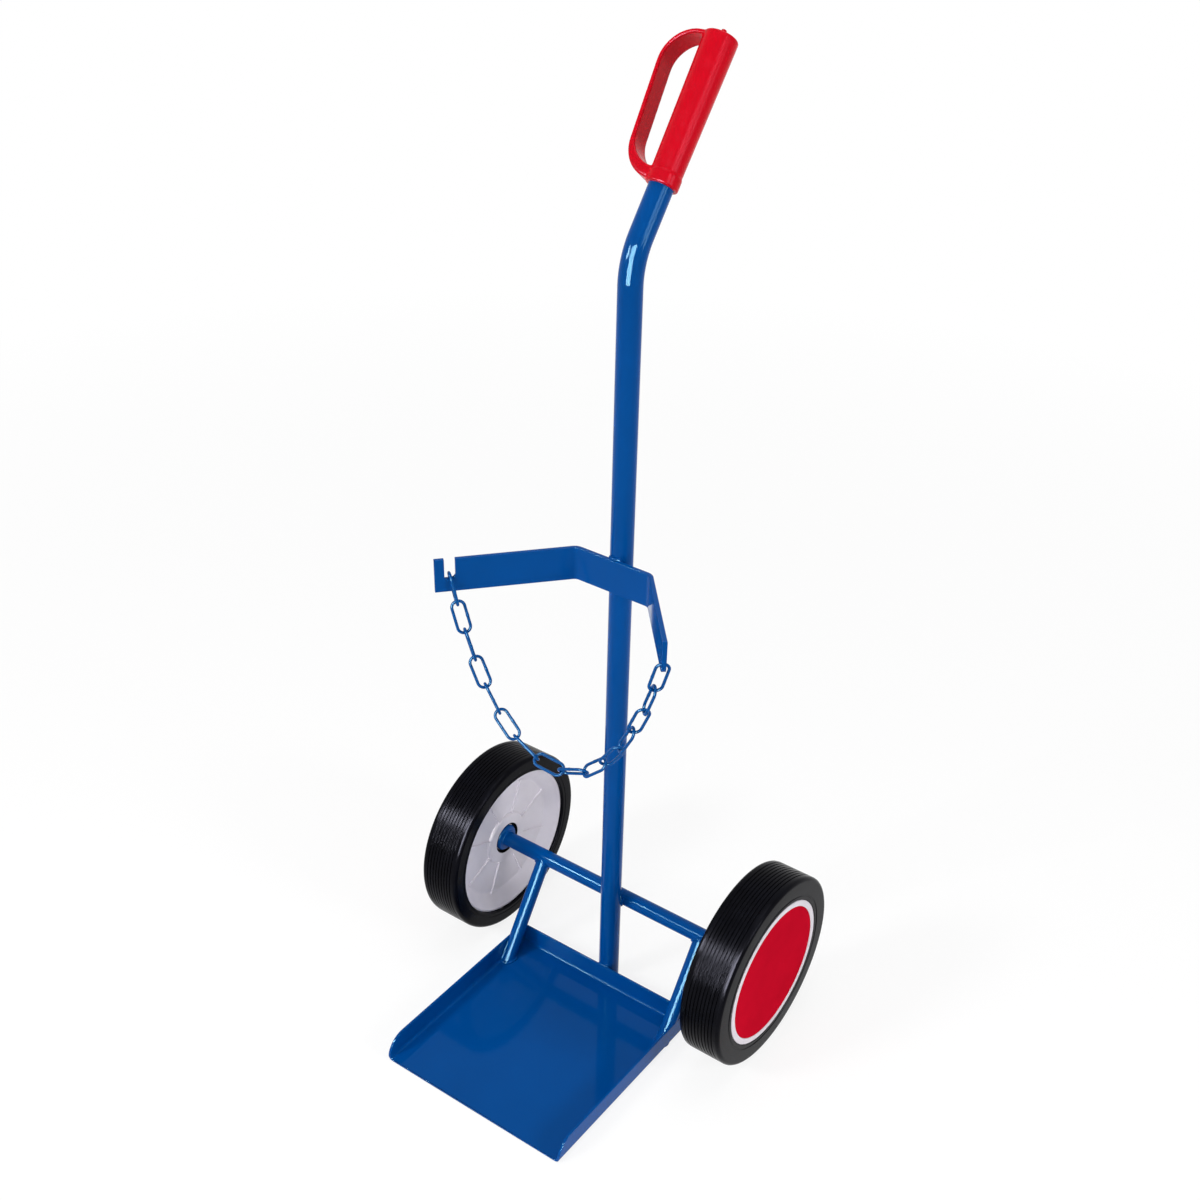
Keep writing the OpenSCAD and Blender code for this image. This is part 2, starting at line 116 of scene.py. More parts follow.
def lattice(points: Array, wrap_u: bool = False, wrap_v: bool = False,
            caps: bool = False) -> Shell:
    """Lay four-sided faces over a grid of points, cell by cell.

    Args:
        points: Array of shape (u, v, 3).
        wrap_u: Whether the last row joins the first.
        wrap_v: Whether the last column joins the first.
        caps: Whether one polygon closes the first row and one the last.

    Returns:
        The shell over the grid.
    """
    nu, nv = points.shape[:2]
    i, j = np.meshgrid(np.arange(nu if wrap_u else nu - 1),
                       np.arange(nv if wrap_v else nv - 1), indexing="ij")
    up, over = (i + 1) % nu, (j + 1) % nv
    quads = np.stack([i * nv + j, up * nv + j, up * nv + over, i * nv + over], axis=-1)
    faces = [tuple(quad) for quad in quads.reshape(-1, 4).tolist()]
    if caps:
        faces += [tuple(range(nv)), tuple(range((nu - 1) * nv, nu * nv))]
    return Shell(points.reshape(-1, 3), faces)


def rounded(corners: list[Pair], radii: list[float], steps: int = 5,
            closed: bool = True) -> Array:
    """Round the corners of a polygon by arcs that touch both of a corner's sides.

    An arc of radius r at a corner of half angle h starts r / tan(h) from the corner, and its
    centre lies r / sin(h) from it on the corner's bisector.

    Args:
        corners: The polygon's corners.
        radii: One radius per corner, 0 for a sharp one.
        steps: Chords per arc.
        closed: Whether the last corner joins the first.

    Returns:
        The rounded polygon's points, shape (n, 2).
    """
    nodes = np.asarray(corners, float)
    count = len(nodes)
    parts = []
    for i, radius in enumerate(radii):
        if radius <= 0 or (not closed and i in (0, count - 1)):
            parts.append(nodes[i:i + 1])
            continue
        back, ahead = nodes[i - 1] - nodes[i], nodes[(i + 1) % count] - nodes[i]
        back, ahead = back / np.linalg.norm(back), ahead / np.linalg.norm(ahead)
        half = math.acos(np.clip(back @ ahead, -1, 1)) / 2
        centre = nodes[i] + (back + ahead) / np.linalg.norm(back + ahead) * radius / math.sin(half)
        start = nodes[i] + back * radius / math.tan(half) - centre
        end = nodes[i] + ahead * radius / math.tan(half) - centre
        turn = math.copysign(math.pi - 2 * half, start[0] * end[1] - start[1] * end[0])
        t = np.linspace(0, turn, steps + 1)[:, None]
        across = np.array([-start[1], start[0]])
        parts.append(centre + start * np.cos(t) + across * np.sin(t))
    return np.concatenate(parts)


def turned(profile: Array, centre: Array, side: int, steps: int = 144) -> Shell:
    """Turn a closed profile about an axis along X.

    The profile's point (r, s) at angle t lies at centre + (side*s, r*cos t, r*sin t).

    Args:
        profile: Radius and station, shape (n, 2).
        centre: The point that stations are measured from.
        side: -1 or 1, the way that stations grow along X.
        steps: Faces round the axis.

    Returns:
        The turned shell.
    """
    t = np.linspace(0, FULL_TURN, steps, endpoint=False)[:, None]
    r, s = profile[:, 0][None], profile[:, 1][None]
    points = np.stack([side * s + 0 * t, r * np.cos(t), r * np.sin(t)], axis=-1)
    return lattice(points + np.asarray(centre), wrap_u=True, wrap_v=True)


def turned_solid(profile: Array, steps: int = 96) -> Shell:
    """Turn an open profile of radius and height about Z and close both of its ends.

    The profile's point (r, z) at angle t lies at (r*cos t, r*sin t, z).

    Args:
        profile: Radius and height, shape (n, 2).
        steps: Faces round the axis.

    Returns:
        The turned solid.
    """
    t = np.linspace(0, FULL_TURN, steps, endpoint=False)[None]
    r, z = profile[:, :1], profile[:, 1:]
    points = np.stack([r * np.cos(t), r * np.sin(t), z + 0 * t], axis=-1)
    return lattice(points, wrap_v=True, caps=True)


def swept(path: Array, section: Array, up: Array, closed: bool = False,
          scale: Array | None = None) -> Shell:
    """Carry a closed section along a path.

    At a path point P with tangent T, the section's point (a, b) lies at P + k*(a*A + b*B), with
    A = up x T made a unit vector, B = T x A, and k the scale there.

    Args:
        path: Points, shape (n, 3).
        section: Closed section, shape (m, 2).
        up: A vector, or one row per path point, never along the path.
        closed: Whether the path is a loop.
        scale: Size of the section at each path point.

    Returns:
        The swept shell, with its ends closed unless the path is a loop.
    """
    if closed:
        tangent = np.roll(path, -1, axis=0) - np.roll(path, 1, axis=0)
    else:
        tangent = np.gradient(path, axis=0)
    tangent /= np.linalg.norm(tangent, axis=1, keepdims=True)
    first = np.cross(np.broadcast_to(up, path.shape), tangent)
    first /= np.linalg.norm(first, axis=1, keepdims=True)
    second = np.cross(tangent, first)
    size = np.ones(len(path)) if scale is None else scale
    points = (path[:, None] + size[:, None, None]
              * (section[None, :, :1] * first[:, None] + section[None, :, 1:] * second[:, None]))
    return lattice(points, wrap_u=closed, wrap_v=True, caps=not closed)


def circle(radius: float, steps: int) -> Array:
    """A circle round the origin as points of shape (steps, 2)."""
    t = np.linspace(0, FULL_TURN, steps, endpoint=False)
    return radius * np.stack([np.cos(t), np.sin(t)], axis=-1)


def prism(outline: Array, depth: float) -> Shell:
    """Carry an outline from y = -depth/2 to y = depth/2.

    Args:
        outline: Points in X and Z, shape (n, 2).
        depth: Thickness along Y.

    Returns:
        The closed prism.
    """
    rows = [np.stack([outline[:, 0], np.full(len(outline), y), outline[:, 1]], axis=-1)
            for y in (-depth / 2, depth / 2)]
    return lattice(np.stack(rows), wrap_v=True, caps=True)


def spread(low: float, high: float, step: float) -> Array:
    """Even stations from low to high, no further apart than step."""
    return np.linspace(low, high, max(2, int(math.ceil(abs(high - low) / step)) + 1))


def bisected(low: float, high: float, too_low: Callable[[float], bool]) -> float:
    """Halve a span again and again, towards the value where a test turns false.

    Args:
        low: The span's low end, where the test holds.
        high: The span's high end, where it doesn't.
        too_low: The test.

    Returns:
        The value found.
    """
    for _ in range(HALVINGS):
        middle = (low + high) / 2
        low, high = (middle, high) if too_low(middle) else (low, middle)
    return (low + high) / 2


# Objects


def closed_object(name: str, mesh: bpy.types.Mesh) -> bpy.types.Object:
    """Merge a mesh's doubles, point its faces outwards and make an object of it.

    Args:
        name: The object's name.
        mesh: The mesh, which is changed.

    Returns:
        The object, at the origin.
    """
    work = bmesh.new()
    work.from_mesh(mesh)
    bmesh.ops.remove_doubles(work, verts=work.verts, dist=MERGE_DISTANCE)
    bmesh.ops.recalc_face_normals(work, faces=work.faces)
    work.to_mesh(mesh)
    work.free()
    piece = bpy.data.objects.new(name, mesh)
    bpy.context.scene.collection.objects.link(piece)
    return piece


def build_object(name: str, shell: Shell) -> bpy.types.Object:
    """Make an object from a shell.

    Args:
        name: The object's name.
        shell: Points in millimetres, and faces.

    Returns:
        The object, at the origin.
    """
    mesh = bpy.data.meshes.new(name)
    mesh.from_pydata(shell.points * MM, [], shell.faces)
    return closed_object(name, mesh)


def settle(piece: bpy.types.Object) -> None:
    """Replace a piece's mesh by what its modifiers make of it, and take the modifiers off.

    Args:
        piece: The piece.
    """
    bpy.context.view_layer.update()
    graph = bpy.context.evaluated_depsgraph_get()
    mesh = bpy.data.meshes.new_from_object(piece.evaluated_get(graph))
    piece.modifiers.clear()
    old, piece.data = piece.data, mesh
    mesh.name = piece.name
    bpy.data.meshes.remove(old)


def carve(piece: bpy.types.Object, cutters: list[Shell]) -> None:
    """Cut the volumes of closed shells out of a piece, one after the other.

    Args:
        piece: The piece.
        cutters: The closed shells.
    """
    for number, shell in enumerate(cutters):
        tool = build_object(f"cutter_{number}", shell)
        cutting = piece.modifiers.new("carve", "BOOLEAN")
        cutting.operation, cutting.solver, cutting.object = "DIFFERENCE", "EXACT", tool
        settle(piece)
        bpy.data.meshes.remove(tool.data)


def smoothed(piece: bpy.types.Object, sharp: float = 40, edge: float = 0) -> None:
    """Shade a piece smoothly, with its flat faces kept flat.

    Args:
        piece: The piece.
        sharp: Angle between two faces from which their edge stays sharp.
        edge: Radius that the sharp edges are rounded to, 0 for none.
    """
    piece.data.shade_smooth()
    piece.data.set_sharp_from_angle(angle=math.radians(sharp))
    if edge:
        rounding = piece.modifiers.new("rounded_edges", "BEVEL")
        rounding.width, rounding.segments, rounding.limit_method = edge * MM, 3, "ANGLE"
        rounding.angle_limit = math.radians(sharp)
        rounding.use_clamp_overlap = True
        piece.data.set_sharp_from_angle(angle=math.pi)
    even = piece.modifiers.new("even_normals", "WEIGHTED_NORMAL")
    even.keep_sharp, even.weight = True, 50


def dress(piece: bpy.types.Object, finish: "Finish", body: str, *nodes: str) -> None:
    """Give a piece its finish and body, and hide the CAD nodes that it stands for.

    Args:
        piece: The piece.
        finish: What it is made of.
        body: The CAD body that it rides on.
        nodes: The CAD nodes that it replaces.
    """
    piece.data.materials.clear()
    piece.data.materials.append(finish.material)
    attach(piece, body)
    if nodes:
        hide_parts(*nodes)
    LOG.info("%s: %d faces on %s", piece.name, len(piece.data.polygons), body)


def dress_cad(node: str, finish: "Finish", body: str, sharp: float = 35) -> None:
    """Stand a merged and smoothly shaded copy of a CAD node in the node's place.

    Args:
        node: The CAD node.
        finish: What it is made of.
        body: The body that it rides on.
        sharp: Angle between two faces from which their edge stays sharp.
    """
    piece = closed_object(f"{node}_surface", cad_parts[node].data.copy())
    smoothed(piece, sharp)
    dress(piece, finish, body, node)


# Finishes


class ShaderBench:
    """The nodes of one material, whose patterns all read Object coordinates."""

    def __init__(self, name: str) -> None:
        """Start a material with its Principled shader.

        Args:
            name: The material's name.
        """
        self.material = bpy.data.materials.new(name)
        self.material.use_nodes = True
        tree = self.material.node_tree
        self.nodes, self.links = tree.nodes, tree.links
        self.shader = next(n for n in self.nodes if n.type == "BSDF_PRINCIPLED")
        self.place = self.nodes.new("ShaderNodeTexCoord").outputs["Object"]

    def set(self, **values: float | Colour) -> None:
        """Set uniform values straight on the shader's sockets.

        Args:
            values: Numbers and colours, each under its socket's name with _ for a space.
        """
        for key, value in values.items():
            socket = self.shader.inputs[key.replace("_", " ")]
            socket.default_value = (*value, 1.0) if isinstance(value, tuple) else value

    def link(self, source: Socket, socket: str) -> None:
        """Link a pattern to one of the shader's sockets."""
        self.links.new(source, self.shader.inputs[socket])

    def noise(self, scale: float, detail: float = 3, roughness: float = 0.5,
              stretch: Triple = (1, 1, 1)) -> Socket:
        """Cloudy noise between 0 and 1.

        Args:
            scale: Cells per metre.
            detail: Octaves.
            roughness: Weight of the finer octaves.
            stretch: Factor on each coordinate.

        Returns:
            The noise's socket.
        """
        mapping = self.nodes.new("ShaderNodeMapping")
        mapping.inputs["Scale"].default_value = stretch
        self.links.new(self.place, mapping.inputs["Vector"])
        node = self.nodes.new("ShaderNodeTexNoise")
        node.inputs["Scale"].default_value = scale
        node.inputs["Detail"].default_value = detail
        node.inputs["Roughness"].default_value = roughness
        self.links.new(mapping.outputs["Vector"], node.inputs["Vector"])
        return node.outputs["Fac"]

    def remap(self, source: Socket, reach: Pair = (0, 1), span: Pair = NOISE_SPAN) -> Socket:
        """Carry a span of a pattern's values to another one, clamped.

        Args:
            source: The pattern.
            reach: The two values that the span's ends become.
            span: The part of the pattern's values that counts.

        Returns:
            The socket of the new pattern.
        """
        node = self.nodes.new("ShaderNodeMapRange")
        for socket, value in zip(("From Min", "From Max", "To Min", "To Max"), (*span, *reach)):
            node.inputs[socket].default_value = value
        self.links.new(source, node.inputs["Value"])
        return node.outputs["Result"]

    def mix(self, factor: Socket, first: Colour | Socket, second: Colour | Socket) -> Socket:
        """Mix two colours, or patterns of colour, by a pattern.

        Args:
            factor: The pattern, 0 for the first colour and 1 for the second.
            first: Colour or pattern.
            second: Colour or pattern.

        Returns:
            The mixed colour's socket.
        """
        node = self.nodes.new("ShaderNodeMix")
        node.data_type = "RGBA"
        self.links.new(factor, node.inputs["Factor"])
        sockets = [s for s in node.inputs if s.type == "RGBA"]
        for socket, value in zip(sockets, (first, second)):
            if isinstance(value, tuple):
                socket.default_value = (*value, 1.0)
            else:
                self.links.new(value, socket)
        return next(s for s in node.outputs if s.type == "RGBA")

    def bump(self, height: Socket, depth: float, strength: float = 1.0) -> None:
        """Add relief, on top of the relief that is there.

        Args:
            height: Pattern between 0 and 1.
            depth: Height of the relief in millimetres.
            strength: Share of it that shows.
        """
        node = self.nodes.new("ShaderNodeBump")
        node.inputs["Distance"].default_value = depth * MM
        node.inputs["Strength"].default_value = strength
        self.links.new(height, node.inputs["Height"])
        normal = self.shader.inputs["Normal"]
        if normal.links:
            self.links.new(normal.links[0].from_socket, node.inputs["Normal"])
        self.links.new(node.outputs["Normal"], normal)


def linear(code: str) -> Colour:
    """A colour code such as "#00499a" as linear light: ((c + 0.055) / 1.055) ** 2.4."""
    values = [int(code[i:i + 2], 16) / 255 for i in (1, 3, 5)]
    return tuple(v / 12.92 if v <= 0.04045 else ((v + 0.055) / 1.055) ** 2.4 for v in values)


def scaled(colour: Colour, factor: float) -> Colour:
    """A colour made lighter or darker by a factor, no brighter than white."""
    return tuple(min(1.0, c * factor) for c in colour)


@dataclass(frozen=True)
class Finish:
    """A finish: the record's slot that it fills, and its main colour."""

    slot: str
    colour: str

    @property
    def material(self) -> bpy.types.Material:
        """The finish's material, made on first use."""
        name = f"finish_{self.slot}"
        return bpy.data.materials.get(name) or self.paint(ShaderBench(name))

    def paint(self, bench: ShaderBench) -> bpy.types.Material:
        """Build the material's nodes.

        Args:
            bench: The new material's bench.

        Returns:
            The material.
        """
        raise NotImplementedError


@dataclass(frozen=True)
class GlossPaint(Finish):
    """Baked gloss paint: orange peel, slightly uneven colour and gloss, and fine scuffs."""

    peel_scale: float = 620
    peel_depth: float = 0.02
    gloss: Pair = (0.05, 0.09)
    sheen: float = 0.09
    tint: Colour = (0.4, 0.85, 1.0)

    def paint(self, bench: ShaderBench) -> bpy.types.Material:
        """Build the paint.

        Args:
            bench: The new material's bench.

        Returns:
            The material.
        """
        base = linear(self.colour)
        cloud = bench.remap(bench.noise(scale=9, detail=4))
        colour = bench.mix(cloud, scaled(base, 0.95), scaled(base, 1.05))
        scuffs = bench.remap(bench.noise(150, 8, roughness=0.7, stretch=(1, 1, 0.25)),
                             reach=(0, 0.07), span=(0.66, 0.76))
        bench.link(bench.mix(scuffs, colour, scaled(base, 2.2)), "Base Color")
        bench.link(bench.remap(bench.noise(scale=70, detail=5), self.gloss), "Roughness")
        bench.bump(bench.noise(self.peel_scale, detail=2), self.peel_depth, strength=0.25)
        bench.bump(bench.noise(scale=28, detail=2), depth=0.04, strength=0.1)
        bench.set(IOR=1.5, Specular_IOR_Level=self.sheen, Specular_Tint=self.tint)
        return bench.material


@dataclass(frozen=True)
class MouldedVinyl(Finish):
    """Soft moulded vinyl: fine grain, gentle waves from the mould, uneven sheen."""

    gloss: Pair = (0.2, 0.3)
    sheen: float = 0.1
    tint: Colour = (1.0, 0.4, 0.58)
    soft_radius: Colour = (0.004, 0.001, 0.001)

    def paint(self, bench: ShaderBench) -> bpy.types.Material:
        """Build the vinyl.

        Args:
            bench: The new material's bench.

        Returns:
            The material.
        """
        base = linear(self.colour)
        mottle = bench.remap(bench.noise(55, 5, roughness=0.6), span=(0.3, 0.72))
        bench.link(bench.mix(mottle, scaled(base, 0.95), scaled(base, 1.03)), "Base Color")
        bench.link(bench.remap(bench.noise(scale=120, detail=5), self.gloss), "Roughness")
        bench.bump(bench.noise(scale=1500, detail=3), depth=0.04, strength=0.6)
        bench.bump(bench.noise(scale=60, detail=2), depth=0.05, strength=0.3)
        bench.set(Subsurface_Weight=0.04, IOR=1.48, Specular_IOR_Level=self.sheen,
                  Specular_Tint=self.tint)
        bench.shader.inputs["Subsurface Radius"].default_value = self.soft_radius
        return bench.material


@dataclass(frozen=True)
class MouldedPlastic(Finish):
    """Hard moulded plastic: flow clouds in the colour, spark grain and small handling marks."""

    cloud: float = 0.06
    gloss: Pair = (0.36, 0.52)
    marks: float = 0.12
    sheen: float = 0.4

    def paint(self, bench: ShaderBench) -> bpy.types.Material:
        """Build the plastic.

        Args:
            bench: The new material's bench.

        Returns:
            The material.
        """
        base = linear(self.colour)
        cloud = bench.remap(bench.noise(24, 5, roughness=0.6))
        colour = bench.mix(cloud, scaled(base, 1 - self.cloud), scaled(base, 1 + self.cloud))
        spots = bench.remap(bench.noise(330, 6, roughness=0.65), reach=(0, self.marks),
                            span=(0.62, 0.72))
        bench.link(bench.mix(spots, colour, scaled(base, 0.55)), "Base Color")
        bench.link(bench.remap(bench.noise(scale=90, detail=4), self.gloss), "Roughness")
        bench.bump(bench.noise(scale=1300, detail=2), depth=0.03, strength=0.6)
        bench.bump(bench.noise(scale=35, detail=2), depth=0.1, strength=0.4)
        bench.set(IOR=1.48, Specular_IOR_Level=self.sheen)
        return bench.material


@dataclass(frozen=True)
class TyreRubber(Finish):
    """Solid tyre rubber: black with a grey bloom, pores, and streaks of gloss round the tread."""

    bloom: str = "#12131a"
    gloss: Pair = (0.12, 0.27)
    sheen: float = 0.035
    tint: Colour = (0.8, 0.8, 1.0)
    round_tread: Colour = (1, 0.03, 0.03)

    def paint(self, bench: ShaderBench) -> bpy.types.Material:
        """Build the rubber.

        Args:
            bench: The new material's bench.

        Returns:
            The material.
        """
        base = linear(self.colour)
        bloom = bench.remap(bench.noise(30, 6, roughness=0.62), reach=(0, 0.5),
                            span=(0.42, 0.75))
        bench.link(bench.mix(bloom, base, linear(self.bloom)), "Base Color")
        streaks = bench.noise(420, 4, roughness=0.6, stretch=self.round_tread)
        bench.link(bench.remap(streaks, self.gloss, span=(0.35, 0.65)), "Roughness")
        bench.bump(streaks, depth=0.45, strength=0.6)
        bench.bump(bench.noise(scale=900, detail=4), depth=0.06, strength=0.7)
        bench.bump(bench.noise(scale=70, detail=3), depth=0.12, strength=0.4)
        bench.set(Specular_IOR_Level=self.sheen, Specular_Tint=self.tint)
        return bench.material


@dataclass(frozen=True)
class PlatedSteel(Finish):
    """Zinc-plated steel: grey metal with fine grain and dull patches."""

    gloss: Pair = (0.28, 0.5)

    def paint(self, bench: ShaderBench) -> bpy.types.Material:
        """Build the plating.

        Args:
            bench: The new material's bench.

        Returns:
            The material.
        """
        base = linear(self.colour)
        patch = bench.remap(bench.noise(scale=140, detail=5))
        bench.link(bench.mix(patch, scaled(base, 0.8), base), "Base Color")
        bench.link(bench.remap(bench.noise(scale=260, detail=5), self.gloss), "Roughness")
        bench.bump(bench.noise(scale=1600, detail=3), depth=0.02, strength=0.6)
        bench.set(Metallic=1.0)
        return bench.material


PAINT = GlossPaint("blue_paint", "#00458b")
CHAIN_PAINT = GlossPaint("blue_chain", "#064a8c", peel_scale=900, peel_depth=0.06,
                         gloss=(0.16, 0.28))
GRIP_VINYL = MouldedVinyl("red_grip", "#c20318")
CAP_PLASTIC = MouldedPlastic("red_cap", "#b90d25", gloss=(0.4, 0.55), marks=0.03, sheen=0.0)
RIM_PLASTIC = MouldedPlastic("grey_plastic", "#d1ccd4", cloud=0.05, marks=0.06)
RUBBER = TyreRubber("black_rubber", "#07070a")
ZINC = PlatedSteel("zinc_steel", "#b8bcc0")
NYLON = MouldedPlastic("nylon", "#e8e6dc", cloud=0.03, marks=0.04)


# Welded frame


@dataclass
class Upright:
    """The round tube that rises behind the plate and leans back at its handle end."""

    radius: float = 13
    wall: float = 2
    y: float = 147
    corner_z: float = 964
    lean: float = 38
    bend_r: float = 75
    end: float = 224.9
    edge: float = 0.5
    steps: int = 96
    bend_steps: int = 25
    step: float = 60

    @property
    def straight(self) -> float:
        """Length of the vertical stretch."""
        return self.corner_z - self.tangent

    @property
    def tangent(self) -> float:
        """Distance from the corner of the bend to where the bend starts."""
        return self.bend_r * math.tan(math.radians(self.lean) / 2)

    @property
    def length(self) -> float:
        """Length of the centre line."""
        return self.straight + self.bend_r * math.radians(self.lean) + self.end - self.tangent

    def centre(self, s: Array) -> tuple[Array, Array]:
        """The centre line at length s from the foot, and its front normal.

        With a = the bend's angle so far, y = R*(1 - cos a) + rest*sin(lean) and
        z = low + R*sin a + rest*cos(lean), where low and rest are the lengths run on the
        straight stretches before and after the bend.

        Args:
            s: Lengths from the foot, shape (n,).

        Returns:
            Points and front normals, shape (n, 3) each.
        """
        lean = math.radians(self.lean)
        a = np.clip((s - self.straight) / self.bend_r, 0, lean)
        rest = np.maximum(s - self.straight - self.bend_r * lean, 0)
        low = np.minimum(s, self.straight)
        y = self.y + self.bend_r * (1 - np.cos(a)) + rest * math.sin(lean)
        z = low + self.bend_r * np.sin(a) + rest * math.cos(lean)
        nil = np.zeros_like(s)
        return np.stack([nil, y, z], -1), np.stack([nil, -np.cos(a), np.sin(a)], -1)

    def shell(self) -> Shell:
        """The tube's outer and inner walls, joined by rounded ends.

        At length s, radius r and angle t the point lies at centre + r*(X*cos t + N*sin t).

        Returns:
            The tube's shell.
        """
        bend = np.linspace(0, self.bend_r * math.radians(self.lean), self.bend_steps)
        bend += self.straight
        run = np.concatenate([spread(self.edge, self.straight - 1, self.step), bend,
                              spread(bend[-1] + 1, self.length - self.edge, self.step)])
        inner = self.radius - self.wall
        s = np.concatenate([run, [self.length], [self.length], run[::-1], [0], [0]])
        r = np.concatenate([np.full(len(run), self.radius), [self.radius - self.edge],
                            [inner + self.edge], np.full(len(run), inner),
                            [inner + self.edge], [self.radius - self.edge]])
        centre, normal = self.centre(s)
        unit = circle(1, self.steps)
        side = np.array([1.0, 0, 0])
        ring = unit[None, :, :1] * side + unit[None, :, 1:] * normal[:, None]
        return lattice(centre[:, None] + r[:, None, None] * ring, wrap_u=True, wrap_v=True)

    def build(self) -> None:
        """Build and dress the upright."""
        piece = build_object("upright_tube", self.shell())
        smoothed(piece)
        dress(piece, PAINT, FRAME_BODY, "spine_tube")


@dataclass
class ToePlate:
    """The folded sheet that the cylinder stands on, with flanges at its sides and rear."""

    width: float = 265
    depth: float = 268
    sheet: float = 3
    height: float = 30
    fold: float = 7
    edge: float = 0.6
    corner: float = 2
    step: float = 40
    chords: int = 8
    nose_chords: int = 14
    corner_chords: int = 6
    rear_chords: int = 8
    edge_shares: Pair = (0.3, 1.0)

    @property
    def nose_r(self) -> float:
        """Radius of the quarter circle that the side flanges start with."""
        return self.height - self.sheet

    def rim_height(self, y: Array) -> Array:
        """Height of the flange at y: a quarter circle at the front, then level."""
        back = np.clip(-self.depth / 2 + self.nose_r - y, 0, self.nose_r)
        return self.sheet + np.sqrt(self.nose_r ** 2 - back ** 2)

    def edge_drop(self, share: Array) -> Array:
        """How far a rounded edge falls at a share of its radius: e*(1 - sin(acos(1 - share)))."""
        return self.edge * (1 - np.sin(np.arccos(1 - share)))

    def fold_curve(self, radius: float, stop: Array) -> tuple[Array, Array]:
        """A fold from level up to a height.

        The fold's point at angle a lies at (fold - r*sin a, fold - r*cos a), with a from 0 to
        acos((fold - stop) / r).

        Args:
            radius: The fold's radius, outside or inside.
            stop: The height at each station, shape (n, 1).

        Returns:
            Insets and heights, shape (n, chords + 1) each.
        """
        top = np.arccos(np.clip((self.fold - stop) / radius, 0, 1))
        a = np.linspace(0, 1, self.chords + 1)[None] * top
        return self.fold - radius * np.sin(a), self.fold - radius * np.cos(a)

    def section(self, height: Array) -> tuple[Array, Array]:
        """Inset from the outer wall and height of the section's points, for a row of heights.

        The section runs from the middle of the underside out to the fold, up the outer wall,
        over the rim, down the inner wall and back over the floor. Both walls and both folds
        stop at the flange's height.

        Args:
            height: The flange's height at each station, shape (n,).

        Returns:
            Insets and heights, shape (n, m) each.
        """
        h = height[:, None]
        out_stop = np.maximum(h, self.sheet) - self.edge
        in_stop = np.maximum(out_stop, self.sheet)
        middle = min(self.width, self.depth) / 2
        flat = np.array([[middle, 0.6 * middle, 0.25 * middle, self.fold + 1]])
        out_fold, out_z = self.fold_curve(self.fold, out_stop)
        in_fold, in_z = self.fold_curve(self.fold - self.sheet, in_stop)
        outer, inner = out_fold[:, -1:], in_fold[:, -1:]
        share = np.array([self.edge_shares])
        over, drop = self.edge * share, self.edge_drop(share)
        columns = [(flat, 0 * flat),
                   (out_fold, out_z),
                   (outer, np.maximum(out_stop, out_z[:, -1:])),
                   (outer + over, h - drop),
                   (inner - over[:, ::-1], h - drop[:, ::-1]),
                   (inner, np.maximum(in_stop, in_z[:, -1:])),
                   (in_fold[:, ::-1], in_z[:, ::-1]),
                   (flat[:, ::-1], self.sheet + 0 * flat)]
        inset, z = (np.concatenate([pair[k] + 0 * h for pair in columns], axis=1)
                    for k in (0, 1))
        return inset, z

    def side_rows(self, y: Array, inset: Array, z: Array) -> Array:
        """The left side's rows of points, with a rounded front edge.

        The point with inset d lies d in from the wall, at y running from the front to the
        mitre at depth/2 - d. The first two rows draw the section in to round the front edge.

        Args:
            y: Stations along the side, shape (n,).
            inset: The section's insets, shape (n, m).
            z: The section's heights, shape (n, m).

        Returns:
            Points, shape (n + 2, m, 3).
        """
        share = (y[:, None] + self.depth / 2) / self.depth
        along = -self.depth / 2 + share * (self.depth - np.maximum(inset, self.corner))
        side = np.stack([inset - self.width / 2, along, z], -1)
        share = np.array(self.edge_shares)[::-1, None]
        pull, middle = self.edge * share, self.sheet / 2
        front = np.stack([side[:1, :, 0] + pull * (inset[:1] < self.fold + 1),
                          along[:1] + self.edge_drop(share),
                          middle + (z[:1] - middle) * (1 - pull / middle)], -1)
        side[0, :, 1] += self.edge
        return np.concatenate([front, side])

    def shell(self) -> Shell:
        """The section carried round the left side, the rear and the right side.

        On the rear the point with inset d lies at depth/2 - d, with x between the mitres. A
        corner is an arc of radius corner - d about a centre that stays put.

        Returns:
            The sheet's shell.
        """
        half, back = self.width / 2, self.depth / 2
        nose = np.linspace(0, math.pi / 2, self.nose_chords + 1)
        front = -back + self.nose_r * (1 - np.cos(nose))
        y = np.concatenate([front, spread(front[-1], back, self.step)[1:]])
        inset, z = self.section(self.rim_height(y))
        left = self.side_rows(y, inset, z)
        inset, z = inset[-1:], z[-1:]
        bend, rest = np.maximum(inset, self.corner), np.maximum(self.corner - inset, 0)
        turn = np.linspace(0, math.pi / 2, self.corner_chords + 1)[:, None]
        corner = np.stack([-half + bend - rest * np.cos(turn),
                           back - bend + rest * np.sin(turn), z + 0 * turn], -1)
        across = np.linspace(-1, 1, self.rear_chords + 1)[:, None]
        rear = np.stack([(half - bend) * across, back - inset + 0 * across, z + 0 * across], -1)
        flip = np.array([-1.0, 1, 1])
        rows = np.concatenate([left, corner[1:], rear[1:-1], corner[::-1][:-1] * flip,
                               left[::-1] * flip], axis=0)
        return lattice(rows, caps=True)

    def build(self) -> None:
        """Build and dress the plate."""
        piece = build_object("toe_plate_sheet", self.shell())
        smoothed(piece, 50)
        dress(piece, PAINT, FRAME_BODY, "toe_plate")


